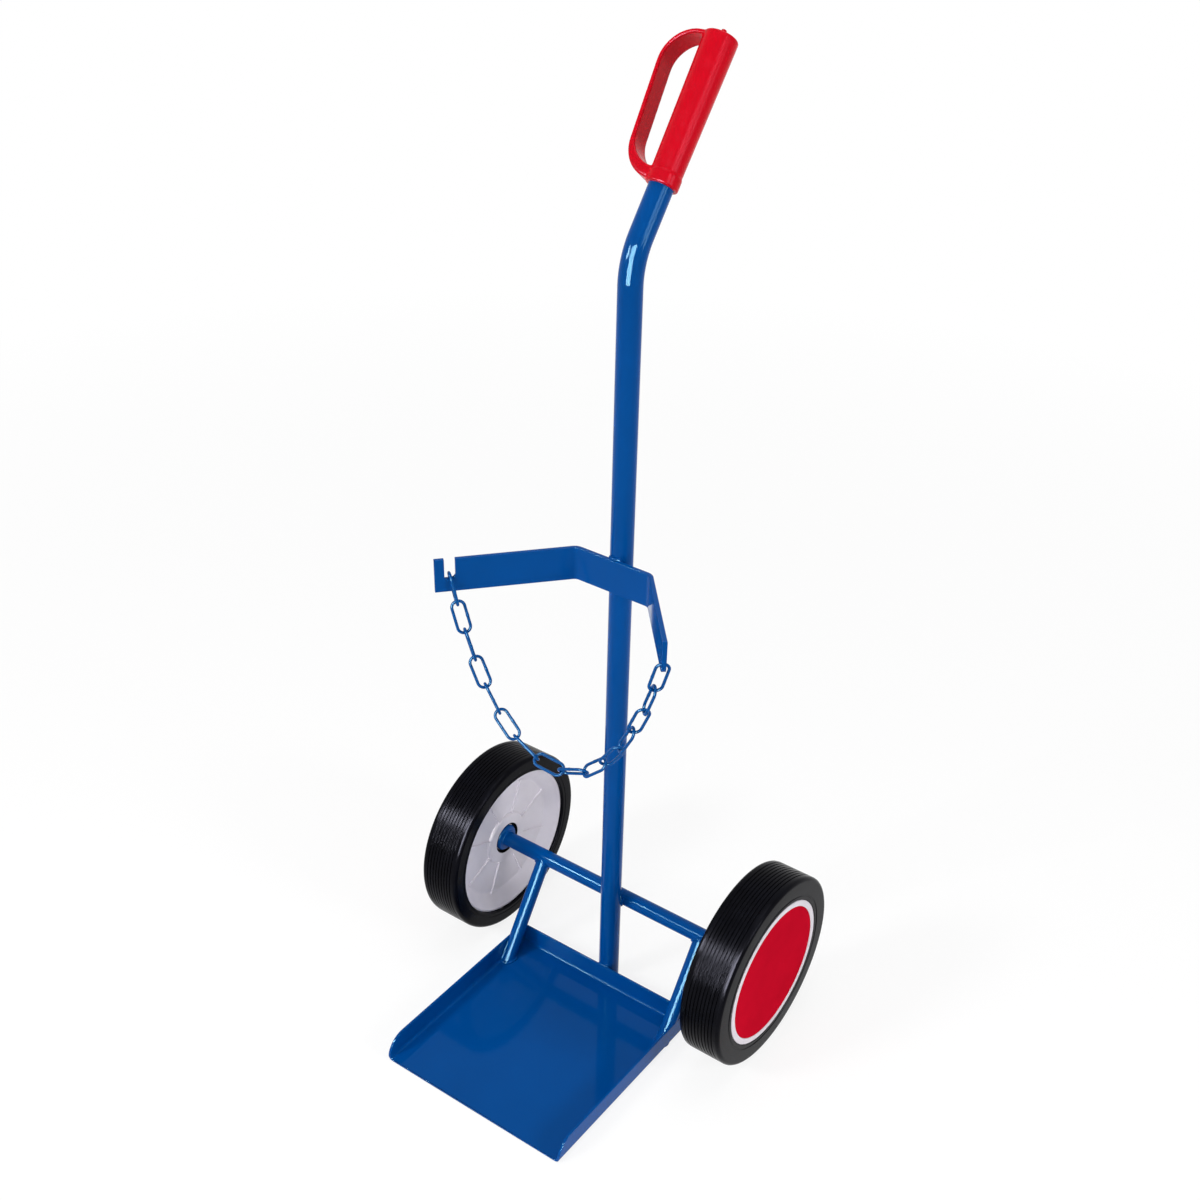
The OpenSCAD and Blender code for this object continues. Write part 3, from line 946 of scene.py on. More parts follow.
@dataclass
class Axle:
    """The axle bar with the stop rings that are welded to it."""

    radius: float = 10
    y: float = 170
    z: float = 125
    half: float = 225
    track: float = 400
    pin_at: float = 21
    pin_hole: float = 2.1
    stop_r: float = 18
    stop_from: float = -14.3
    stop_to: float = -8.3
    stop_round: float = 4
    stop_bore_round: float = 0.3
    edge: float = 1
    rows: int = 9
    cut: float = 2

    @property
    def centre(self) -> Array:
        """The middle of the axle."""
        return np.array([0, self.y, self.z])

    def station(self, side: Side, out: float = 0) -> Array:
        """The point on the axis that lies further out than a wheel's middle plane."""
        return self.centre + [side.value * (self.track / 2 + out), 0, 0]

    def bar(self) -> Shell:
        """The bar as a turned solid, with a few rows of faces along its length.

        Returns:
            The bar's shell.
        """
        r, end = self.radius, self.half
        profile = rounded([(AXIS_R, -end), (r, -end), (r, end), (AXIS_R, end)],
                          [0, self.edge, self.edge, 0], 4, closed=False)
        stations = np.linspace(-end + self.cut, end - self.cut, self.rows)
        middle = len(profile) // 2
        profile = np.insert(profile, middle, np.stack([np.full(self.rows, r), stations], -1), 0)
        turn = np.array([[0.0, 1, 0], [0, 0, 1], [1, 0, 0]])
        return turned_solid(profile).placed(self.centre, turn)

    def build(self) -> None:
        """Build the bar, drill its pin holes, and dress it and its two rings."""
        bar = build_object("axle", self.bar())
        r, reach = self.radius, self.radius + self.cut
        drill = turned_solid(np.array([[self.pin_hole, -reach], [self.pin_hole, reach]]), 32)
        carve(bar, [drill.placed(self.station(side, self.pin_at), np.eye(3)) for side in Side])
        smoothed(bar)
        dress(bar, PAINT, FRAME_BODY, "axle_bar")
        ring = rounded([(r, self.stop_from), (self.stop_r, self.stop_from),
                        (self.stop_r, self.stop_to), (r, self.stop_to)],
                       [self.stop_bore_round, self.stop_round, self.edge, self.stop_bore_round], 8)
        for side in Side:
            piece = build_object(f"{side.word}_stop",
                                 turned(ring, self.station(side), side.value, 96))
            smoothed(piece)
            dress(piece, PAINT, FRAME_BODY, f"{side.word}_stop_ring")


@dataclass
class Strut:
    """A round tube from the axle down and forward to the plate's floor."""

    side: Side
    axle: Axle
    radius: float = 9
    wall: float = 2
    x: float = 123.5
    foot_y: float = 91
    floor: float = 3
    steps: int = 72
    rows: int = 9

    @property
    def direction(self) -> Array:
        """Unit vector down the strut."""
        way = np.array([0, self.foot_y - self.axle.y, self.floor - self.axle.z])
        return way / np.linalg.norm(way)

    @property
    def head(self) -> Array:
        """Where the strut's axis meets the axle's."""
        return np.array([self.side.value * self.x, self.axle.y, self.axle.z])

    def around(self, radius: float, t: Array) -> Array:
        """Offsets from the strut's axis: radius*(X*cos t + N*sin t), N square to it and to X.

        Args:
            radius: Distance from the axis.
            t: Angles, shape (n,).

        Returns:
            Offsets, shape (n, 3).
        """
        way = self.direction
        normal = np.array([0, -way[2], way[1]])
        outwards = np.array([float(self.side.value), 0, 0])
        return radius * (np.cos(t)[:, None] * outwards + np.sin(t)[:, None] * normal)

    def at_axle(self, radius: float, t: Array) -> Array:
        """Where lines along the tube meet the axle, s = sqrt(R^2 - (r*sin t)^2) down them."""
        s = np.sqrt(self.axle.radius ** 2 - (radius * np.sin(t)) ** 2)
        return self.head + self.around(radius, t) + s[:, None] * self.direction

    def at_height(self, radius: float, t: Array, z: float) -> Array:
        """Where lines along the tube pass a height.

        Args:
            radius: The lines' distance from the tube's axis.
            t: Their angles round it, shape (n,).
            z: The height.

        Returns:
            Points, shape (n, 3).
        """
        off = self.around(radius, t)
        s = (z - self.axle.z - off[:, 2]) / self.direction[2]
        return self.head + off + s[:, None] * self.direction

    def build(self) -> None:
        """Build and dress the strut: both walls ruled between the axle and the floor."""
        t = np.linspace(0, FULL_TURN, self.steps, endpoint=False)
        share = np.linspace(0, 1, self.rows)[:, None, None]
        walls = []
        for radius in (self.radius, self.radius - self.wall):
            top, foot = self.at_axle(radius, t), self.at_height(radius, t, self.floor)
            walls.append(top + share * (foot - top))
        points = np.concatenate([walls[0], walls[1][::-1]])
        piece = build_object(f"{self.side.word}_strut_tube",
                             lattice(points, wrap_u=True, wrap_v=True))
        smoothed(piece)
        dress(piece, PAINT, FRAME_BODY, f"{self.side.word}_strut")


@dataclass
class Bracket:
    """The flat bar with two bends, an open notch in its left arm and an eye in its right arm."""

    height: float = 40
    thick: float = 5
    y: float = 131.5
    foot: float = 597.5
    flat: float = 98
    splay: float = 49
    bend_r: float = 10.5
    left: float = 158
    right: float = 132
    notch_w: float = 12
    notch_h: float = 24
    notch_in: float = 17
    notch_r: float = 5
    eye_r: float = 4
    eye_edge: float = 4.5
    edge: float = 0.7
    bend_steps: int = 13

    @property
    def eye_in(self) -> float:
        """Distance from the right arm's end and foot to the middle of the eye."""
        return self.eye_r + self.eye_edge

    @property
    def tangent(self) -> float:
        """Distance from a bend's corner to where the bend starts."""
        return self.bend_r * math.tan(math.radians(self.splay) / 2)

    def line(self, s: Array, side: int) -> tuple[Array, Array]:
        """The bar's middle line at length s from its middle, and its back normal, in plan.

        With a = the bend's angle so far, x = low + R*sin a + rest*cos(splay) and
        y = -R*(1 - cos a) - rest*sin(splay).

        Args:
            s: Lengths from the middle, shape (n,).
            side: -1 for the left half, 1 for the right one.

        Returns:
            Points and normals, shape (n, 2) each.
        """
        splay, start = math.radians(self.splay), self.flat / 2 - self.tangent
        a = np.clip((s - start) / self.bend_r, 0, splay)
        rest = np.maximum(s - start - self.bend_r * splay, 0)
        x = np.minimum(s, start) + self.bend_r * np.sin(a) + rest * math.cos(splay)
        y = -self.bend_r * (1 - np.cos(a)) - rest * math.sin(splay)
        return np.stack([side * x, y], -1), np.stack([side * np.sin(a), np.cos(a)], -1)

    def run(self, arm: float) -> Array:
        """Stations from the middle to the end of an arm, close together in the bend.

        Args:
            arm: The arm's length from the bend's corner.

        Returns:
            Lengths from the middle, shape (n,).
        """
        start = self.flat / 2 - self.tangent
        arc = np.linspace(0, self.bend_r * math.radians(self.splay), self.bend_steps)
        return np.concatenate([[0], start + arc, [start + arc[-1] + arm - self.tangent]])

    def shell(self) -> Shell:
        """The bar's rectangle carried from the left arm's end to the right arm's end.

        Returns:
            The bar's shell.
        """
        left, left_n = self.line(self.run(self.left)[::-1], -1)
        right, right_n = self.line(self.run(self.right)[1:], 1)
        middle, normal = np.concatenate([left, right]), np.concatenate([left_n, right_n])
        b = self.thick / 2
        corners = np.array([[-b, 0], [b, 0], [b, self.height], [-b, self.height]])
        plan = middle[:, None] + corners[None, :, :1] * normal[:, None]
        z = np.broadcast_to(corners[None, :, 1:], (*plan.shape[:2], 1))
        points = np.concatenate([plan, z], axis=2) + [0, self.y, self.foot]
        return lattice(points, wrap_v=True, caps=True)

    def arm_frame(self, side: Side) -> tuple[Array, Array]:
        """Origin at the foot of an arm's bend, and axes along the arm, through it and up.

        Args:
            side: The arm's side.

        Returns:
            The origin, and the three axes as rows.
        """
        c, s = math.cos(math.radians(self.splay)), math.sin(math.radians(self.splay))
        origin = np.array([side.value * self.flat / 2, self.y, self.foot])
        return origin, np.array([[side.value * c, -s, 0], [side.value * s, c, 0], [0, 0, 1]])

    def notch_outline(self) -> Array:
        """The open notch, with its inner foot corner rounded.

        Returns:
            Points along the arm and up, shape (n, 2).
        """
        low = self.left - self.notch_in - self.notch_w / 2
        high, base, top = low + self.notch_w, self.height - self.notch_h, self.height + 2
        return rounded([(low, top), (low, base), (high, base), (high, top)],
                       [0, self.notch_r, 0, 0], 8)

    def corner_outline(self) -> Array:
        """What the round foot corner of the right arm leaves off.

        Returns:
            Points along the arm and up, shape (n, 2).
        """
        eye_in, at, past = self.eye_in, self.right - self.eye_in, self.right + 1
        t = np.linspace(-math.pi / 2, 0, self.bend_steps)
        arc = np.stack([at + eye_in * np.cos(t), eye_in + eye_in * np.sin(t)], -1)
        return np.concatenate([arc, [[past, eye_in], [past, -1], [at, -1]]])

    def build(self) -> None:
        """Build the bar, carve the notch, the eye and the round corner, and dress it."""
        piece = build_object("cradle_bar", self.shell())
        eye = circle(self.eye_r, 40) + [self.right - self.eye_in, self.eye_in]
        cuts = [(self.notch_outline(), Side.LEFT), (eye, Side.RIGHT),
                (self.corner_outline(), Side.RIGHT)]
        carve(piece, [prism(outline, 3 * self.thick).placed(*self.arm_frame(side))
                      for outline, side in cuts])
        smoothed(piece, 30, self.edge)
        dress(piece, PAINT, FRAME_BODY, "cylinder_bracket")


@dataclass(frozen=True)
class Seam:
    """A flat wall's weld to the upright: two upright fillets behind it and one over its top."""

    low: float
    high: float
    across: float
    behind: float
    fillet_r: float
    fillet_steps: int
    top_z: float
    top_off: float
    top_turn: float
    top_r: float
    top_steps: int


@dataclass
class Welds:
    """The rippled beads that join the frame's pieces."""

    upright: Upright
    axle: Axle
    struts: list[Strut]
    bracket: Bracket
    plate: ToePlate
    ripple: float = 0.1
    ripple_step: float = 2.6
    bead_steps: int = 12
    tail_size: float = 0.2
    tail_length: float = 1.2
    lean: Triple = (0.137, 0.291, 0.947)
    axle_spot: Pair = (8.5, 7.2)
    axle_r: float = 2.6
    ring_steps: int = 60
    stop_off: float = 0.5
    stop_in: float = 0.2
    stop_r: float = 1.6
    head_off: float = 0.3
    head_r: float = 1.9
    head_steps: int = 96
    foot_off: float = 0.4
    foot_up: float = 0.6
    foot_r: float = 1.8
    wall_gap: float = 1.6
    wall_r: float = 1.4
    wall_top: float = 1.5
    wall_steps: int = 16

    def bead(self, path: Array, radius: float, closed: bool = False) -> Shell:
        """A bead along a path.

        Its radius is r*(1 + k*|sin(pi*s/step)|) at length s, and runs out to a fifth within a
        radius of an open end.

        Args:
            path: Points, shape (n, 3).
            radius: The bead's radius.
            closed: Whether the path is a loop.

        Returns:
            The bead's shell.
        """
        steps = np.linalg.norm(np.diff(path, axis=0), axis=1)
        s = np.concatenate([[0], np.cumsum(steps)])
        size = 1 + self.ripple * np.abs(np.sin(math.pi * s / self.ripple_step))
        if not closed:
            near = np.clip(np.minimum(s, s[-1] - s) / (self.tail_length * radius), 0, 1)
            size *= self.tail_size + (1 - self.tail_size) * np.sqrt(near * (2 - near))
        return swept(path, circle(radius, self.bead_steps), np.array(self.lean), closed, size)

    def axle_ring(self) -> Shell:
        """The bead round the spot where the axle lies against the upright's back.

        It follows an ellipse, half way between the tube's back and the bar's front.

        Returns:
            The bead's shell.
        """
        x, up = (circle(1, self.ring_steps) * self.axle_spot).T
        tube = self.upright.y + np.sqrt(self.upright.radius ** 2 - x ** 2)
        bar = self.axle.y - np.sqrt(self.axle.radius ** 2 - up ** 2)
        path = np.stack([x, (tube + bar) / 2, self.axle.z + up], -1)
        return self.bead(path, self.axle_r, closed=True)

    def strut_rings(self, strut: Strut) -> list[Shell]:
        """The beads round a strut's head on the axle, and round its foot in the plate.

        Args:
            strut: The strut.

        Returns:
            The head's bead, the foot's and the two that climb the side flange.
        """
        t = np.linspace(0, FULL_TURN, self.head_steps, endpoint=False)
        head = self.bead(strut.at_axle(strut.radius + self.head_off, t), self.head_r, closed=True)
        wall = self.plate.width / 2 - self.plate.sheet
        start = math.acos((wall - strut.x - self.wall_gap) / strut.radius)
        t = np.linspace(start, FULL_TURN - start, self.ring_steps)
        beads = [head, self.bead(strut.at_height(strut.radius + self.foot_off, t,
                                                 strut.floor + self.foot_up), self.foot_r)]
        ends = strut.floor, self.plate.height - self.wall_top
        share = np.linspace(0, 1, self.wall_steps)[:, None]
        for angle in (-start, start):
            foot, top = (strut.at_height(strut.radius, np.array([angle]), z) for z in ends)
            beads.append(self.bead(foot + share * (top - foot), self.wall_r))
        return beads

    def seam_lines(self, seam: Seam) -> list[Shell]:
        """Two upright fillets behind a wall on the upright, and the run over its top edge.

        Args:
            seam: The seam's sizes.

        Returns:
            The three beads.
        """
        front, r = self.upright.y - self.upright.radius, self.upright.radius + seam.top_off
        z = np.linspace(seam.low, seam.high, seam.fillet_steps)
        beads = []
        for x in (-seam.across, seam.across):
            path = np.stack([0 * z + x, 0 * z + front + seam.behind, z], -1)
            beads.append(self.bead(path, seam.fillet_r))
        t = np.linspace(-seam.top_turn, seam.top_turn, seam.top_steps)
        top = np.stack([r * np.sin(t), self.upright.y - r * np.cos(t), 0 * t + seam.top_z], -1)
        return [*beads, self.bead(top, seam.top_r)]

    def stop_rings(self) -> list[Shell]:
        """A bead round the axle on the inner side of each stop ring.

        Returns:
            The two beads.
        """
        y, z = circle(self.axle.radius + self.stop_off, self.ring_steps).T
        beads = []
        for side in Side:
            path = np.stack([0 * y, y, z], -1)
            path += self.axle.station(side, self.axle.stop_from + self.stop_in)
            beads.append(self.bead(path, self.stop_r, closed=True))
        return beads

    def build(self) -> None:
        """Build and dress the beads, one piece for each place."""
        bar, top = self.bracket, self.plate.height
        cradle = Seam(low=bar.foot + 1, high=bar.foot + bar.height - 1, across=7.2, behind=1.9,
                      fillet_r=2.6, fillet_steps=40, top_z=bar.foot + bar.height + 0.3,
                      top_off=0.4, top_turn=0.62, top_r=2.3, top_steps=24)
        flange = Seam(low=4, high=top - 1, across=7, behind=1.8, fillet_r=2.2, fillet_steps=20,
                      top_z=top - 0.6, top_off=0.3, top_turn=0.6, top_r=1.5, top_steps=22)
        groups = {"weld_axle": [self.axle_ring()], "weld_bracket": self.seam_lines(cradle),
                  "weld_upright_foot": self.seam_lines(flange),
                  "weld_stop_rings": self.stop_rings()}
        for strut in self.struts:
            groups[f"weld_{strut.side.word}_strut"] = self.strut_rings(strut)
        for name, shells in groups.items():
            piece = build_object(name, joined(shells))
            smoothed(piece, 80)
            dress(piece, PAINT, FRAME_BODY)


# Chain


@dataclass
class Chain:
    """Fifteen welded links that hang from the notch to the eye.

    The slope of a hanging chain of equal links grows by one step from link to link, so link k
    lies at the angle atan(step*(k - middle)).
    """

    bracket: Bracket
    count: int = 15
    pitch: float = 34
    width: float = 18
    wire: float = 3.5
    gap: float = 0.5
    seat_gap: float = 0.3
    first_shift: float = 2
    last_shift: float = 0.8
    step_span: Pair = (0.01, 3)
    weld: float = 0.16
    weld_reach: float = 1.3
    wire_steps: int = 18
    crown_steps: int = 19
    straight_steps: int = 16

    def hanging_point(self, side: Side, along: float, shift: float, metal: float) -> Array:
        """Where an end link's crown sits, so that its legs clear both faces of the bar.

        The inside of a crown of radius c, set back by a shift, stands
        c - sqrt(c^2 - (thickness/2 + shift)^2) above the metal, and the gap on top of it.

        Args:
            side: The arm's side.
            along: Distance along the arm.
            shift: Distance from the middle of the bar's thickness.
            metal: Height of the metal above the bar's foot.

        Returns:
            The point.
        """
        crown, reach = self.width / 2 - self.wire, self.bracket.thick / 2 + shift
        rise = crown - math.sqrt(crown ** 2 - reach ** 2) + self.seat_gap
        origin, axes = self.bracket.arm_frame(side)
        return origin + np.array([along, shift, metal + rise]) @ axes

    def ends(self) -> tuple[Array, Array]:
        """The two points that the chain hangs from.

        Returns:
            The point in the notch and the point in the eye.
        """
        bar = self.bracket
        return (self.hanging_point(Side.LEFT, bar.left - bar.notch_in, self.first_shift,
                                   bar.height - bar.notch_h),
                self.hanging_point(Side.RIGHT, bar.right - bar.eye_in, self.last_shift,
                                   bar.eye_edge))

    def angles(self, step: float, middle: float) -> Array:
        """The links' angles in radians: atan(step*(k - middle)) for link k."""
        return np.arctan(step * (np.arange(1, self.count + 1) - middle))

    def level_link(self, step: float, climb: float) -> float:
        """The middle for which the links climb as much as the chain does, by bisection."""
        return bisected(0, self.count, lambda middle: self.pitch * np.sin(
            self.angles(step, middle)).sum() > climb)

    def hung(self, span: float, climb: float) -> Array:
        """The angles of the links that reach over a span and climb by a height.

        Args:
            span: Level distance between the ends.
            climb: Height of the last end above the first.

        Returns:
            Angles in radians, shape (count,).
        """
        step = bisected(*self.step_span, lambda s: self.pitch * np.cos(
            self.angles(s, self.level_link(s, climb))).sum() > span)
        return self.angles(step, self.level_link(step, climb))

    def link(self) -> Shell:
        """One link along X: a stadium of round wire with a weld's bulge on one straight.

        The wire's radius is w*(1 + k*exp(-(d/reach)^2)) at distance d from the weld.

        Returns:
            The link's shell, in its own frame.
        """
        middle = (self.width - self.wire) / 2
        half = self.pitch / 2 + self.gap / 2 - (middle - self.wire / 2)
        t = np.linspace(-math.pi / 2, math.pi / 2, self.crown_steps)
        arc = np.stack([half + middle * np.cos(t), middle * np.sin(t)], -1)
        run = np.linspace(half, -half, self.straight_steps + 2)[1:-1]
        top = np.stack([run, 0 * run + middle], -1)
        loop = np.concatenate([arc, top, -arc, -top])
        bulge = np.exp(-(loop[:, 0] / self.weld_reach) ** 2) * (loop[:, 1] > 0)
        path = np.pad(loop, ((0, 0), (0, 1)))
        return swept(path, circle(self.wire / 2, self.wire_steps), np.array([0, 0, 1.0]),
                     closed=True, scale=1 + self.weld * bulge)

    def build(self) -> None:
        """Build and dress the links from the left arm to the right arm.

        Every second link stands square to its neighbours, the first one square to its arm.
        """
        start, end = self.ends()
        across = end - start
        turn = math.atan2(across[1], across[0])
        link = self.link()
        for number, slope in enumerate(self.hung(math.hypot(*across[:2]), across[2]), 1):
            roll = math.radians((180 if number % 2 else 90) - self.bracket.splay)
            axes = (Matrix.Rotation(turn, 3, "Z") @ Matrix.Rotation(-slope, 3, "Y")
                    @ Matrix.Rotation(roll, 3, "X"))
            rows = np.array(axes.transposed())
            piece = build_object(f"link_{number:02d}",
                                 link.placed(start + rows[0] * self.pitch / 2, rows))
            smoothed(piece, 80)
            body = "chain_ends" if number in (1, self.count) else "chain_run"
            dress(piece, CHAIN_PAINT, body, f"chain_link_{number:02d}")
            start = start + rows[0] * self.pitch


# Wheels


@dataclass
class Wheel:
    """A solid tyre on a moulded rim with a hub cap, a bush, a washer and a split pin.

    Stations along the axis run outwards from the wheel's middle plane.
    """

    side: Side
    axle: Axle
    tyre_r: float = 125
    half_width: float = 28
    shoulder: float = 5
    grooves: int = 9
    groove_w: float = 1.3
    groove_h: float = 1.6
    groove_slope: float = 0.15
    bead_bevel: float = 1.2
    inner_ring: Triple = (107, 109.6, 0.6)
    outer_ring: Triple = (103.2, 100.4, 0.7)
    ring_slope: float = 0.6
    ring_r: float = 95.5
    flange_r: float = 103
    flange_in: float = -24
    flange_back: float = -18
    lip_w: float = 6
    dish_w: float = 14
    web_in: float = -9
    web_out: float = -3
    boss_r: float = 37
    boss_in: float = -13
    boss_edge: float = 2
    recess_r: float = 22
    recess_in: float = -8
    bush_r: float = 15
    hub_wall: float = 7
    hub_out: float = 15.9
    cap_r: float = 87.5
    cap_t: float = 2.5
    skirt_h: float = 5
    skirt_t: float = 3
    ledge_w: float = 4
    slip: float = 0.1
    cap_pole: float = 0.05
    rib_count: int = 8
    rib_w: float = 2
    rib_h: float = 2.5
    rib_lap: float = 1
    rib_root: float = 0.5
    rib_slope: float = 2
    rib_round: float = 1.2
    # sizes of the black cup that darkens the hub's recess round the stop ring
    liner_t: float = 0.7
    liner_floor: float = 0.6
    liner_set: float = 0.2
    liner_gap: float = 0.6
    steps: int = 192
    liner_steps: int = 96

    @property
    def body(self) -> str:
        """The body that the wheel turns with."""
        return f"{self.side.word}_wheel"

    @property
    def cap_seat(self) -> float:
        """Station of the ledge that the cap's skirt seats on."""
        return self.half_width - self.cap_t - self.skirt_h

    @property
    def dish_foot(self) -> float:
        """Radius at which the dish meets the web."""
        return self.flange_r - self.lip_w - self.dish_w

    def sunk_ring(self, ring: Triple, face: float) -> list[Pair]:
        """Corners of a shallow ring sunk into a sidewall.

        Args:
            ring: Radius where the section goes in, radius where it comes out, and depth.
            face: The sidewall's station.

        Returns:
            Four corners as radius and station.
        """
        start, end, depth = ring
        step, floor = math.copysign(self.ring_slope, end - start), face - math.copysign(depth, face)
        return [(start, face), (start + step, floor), (end - step, floor), (end, face)]

    def tyre_profile(self) -> Array:
        """The tyre's section: grooved tread, round shoulders and shallow sidewall rings.

        Returns:
            Radii and stations, shape (n, 2).
        """
        half, out, bevel = self.half_width, self.tyre_r, self.bead_bevel
        flat = 2 * (half - self.shoulder)
        pitch = flat / (self.grooves + 1)
        points = [(self.ring_r, half - bevel), (self.ring_r, self.flange_back),
                  (self.flange_r, self.flange_back), (self.flange_r, bevel - half),
                  (self.flange_r + bevel, -half), *self.sunk_ring(self.inner_ring, -half),
                  (out, -half)]
        radii = [0.4, 0, 0, 0.6, 0.6, 0.2, 0.2, 0.2, 0.2, self.shoulder]
        for i in range(1, self.grooves + 1):
            low, floor = i * pitch - (flat + self.groove_w) / 2, out - self.groove_h
            high = low + self.groove_w
            points += [(out, low), (floor, low + self.groove_slope),
                       (floor, high - self.groove_slope), (out, high)]
            radii += [0.35, 0.4, 0.4, 0.35]
        points += [(out, half), *self.sunk_ring(self.outer_ring, half),
                   (self.ring_r + bevel, half)]
        radii += [self.shoulder, 0.25, 0.2, 0.2, 0.25, 0.6]
        return rounded(points, radii, 4)

    def rim_profile(self) -> Array:
        """The rim's section: hub, dished web, lipped flange, barrel, ring and the cap's seat.

        Returns:
            Radii and stations, shape (n, 2).
        """
        half, seat_r = self.half_width, self.cap_r + self.slip
        dish, lip, ledge = self.flange_r - self.lip_w, self.lip_w / 2, seat_r - self.ledge_w
        hub_r = self.bush_r + self.hub_wall
        corners = [  # radius, station, rounding
            (self.bush_r, self.recess_in, 0.3), (self.recess_r, self.recess_in, 0.8),
            (self.recess_r, self.boss_in, 0.8), (self.boss_r - self.boss_edge, self.boss_in, 1.1),
            (self.boss_r, self.boss_in + self.boss_edge, 1.1), (self.boss_r, self.web_in, 0.8),
            (self.dish_foot, self.web_in, 5), (dish, self.flange_in + lip, 1.5),
            (self.flange_r - lip, self.flange_in, 1.2), (self.flange_r, self.flange_in, 1.2),
            (self.flange_r, self.flange_back, 0.2), (self.ring_r, self.flange_back, 0.2),
            (self.ring_r, half, 0.7), (seat_r, half, 0.7), (seat_r, self.cap_seat, 0.5),
            (ledge, self.cap_seat, 0.5), (ledge, self.web_out, 1.5), (hub_r, self.web_out, 1.5),
            (hub_r, self.hub_out, 0.5), (self.bush_r, self.hub_out, 0.3)]
        return rounded([corner[:2] for corner in corners], [corner[2] for corner in corners], 4)

    def ribs(self) -> Shell:
        """The thin ribs on the web's inner side, from the boss to the dish.

        Returns:
            All the ribs.
        """
        start, end = self.boss_r - self.rib_lap, self.dish_foot + self.rib_lap
        root, crest = self.web_in + self.rib_root, self.web_in - self.rib_h
        outline = rounded([(start, root), (start, crest), (end, crest),
                           (end + self.rib_slope, root)], [0, 0, self.rib_round, 0], 4)
        parts = []
        for i in range(self.rib_count):
            a = FULL_TURN * (i + 0.5) / self.rib_count
            axes = np.array([[0, math.cos(a), math.sin(a)], [0, -math.sin(a), math.cos(a)],
                             [self.side.value, 0, 0]])
            parts.append(prism(outline, self.rib_w).placed(self.axle.station(self.side), axes))
        return joined(parts)

    def dark_liner_profile(self) -> Array:
        """The section of the black cup that lines the hub's recess round the stop ring, so that the
        recess shows dark.

        Returns:
            Radii and stations, shape (n, 2).
        """
        bore, outer = self.axle.stop_r + self.liner_gap, self.recess_r - self.slip
        back, lip = self.recess_in - self.slip, self.boss_in + self.liner_set
        front, inner = back - self.liner_floor, outer - self.liner_t
        return rounded([(bore, front), (inner, front), (inner, lip), (outer, lip), (outer, back),
                        (bore, back)], [0.2, 0.6, 0.3, 0.3, 0.3, 0.2], 4)

    def cap_profile(self) -> Array:
        """The cap's section: a flat face with a round edge, and the skirt behind it.

        Returns:
            Radii and stations, shape (n, 2).
        """
        r, face, back = self.cap_r, self.half_width, self.half_width - self.cap_t
        inner = r - self.skirt_t
        return rounded([(self.cap_pole, back), (self.cap_pole, face), (r, face),
                        (r, self.cap_seat), (inner, self.cap_seat), (inner, back)],
                       [0, 0, 1.1, 0.4, 0.4, 1], 5)

    def lathe(self, profile: Array, steps: int) -> Shell:
        """Turn a profile about the wheel's axis."""
        return turned(profile, self.axle.station(self.side), self.side.value, steps)

    def build(self) -> None:
        """Build and dress the wheel's pieces."""
        word = self.side.word
        rim = joined([self.lathe(self.rim_profile(), self.steps), self.ribs()])
        for name, shell, finish, nodes in (
                ("tyre_rubber", self.lathe(self.tyre_profile(), self.steps), RUBBER, ["tyre"]),
                ("rim_moulding", rim, RIM_PLASTIC, ["rim"]),
                # a black cup that darkens the hub's recess round the stop ring
                ("hub_dark_liner", self.lathe(self.dark_liner_profile(), self.liner_steps), RUBBER, []),
                ("cap_disc", self.lathe(self.cap_profile(), self.steps), CAP_PLASTIC,
                 ["hub_cap"])):
            piece = build_object(f"{word}_{name}", shell)
            smoothed(piece, 50)
            dress(piece, finish, self.body, *(f"{word}_{node}" for node in nodes))
        dress_cad(f"{word}_bush", NYLON, self.body)
        dress_cad(f"{word}_washer", ZINC, FRAME_BODY)
        dress_cad(f"{word}_split_pin", ZINC, FRAME_BODY, 60)


# Grip


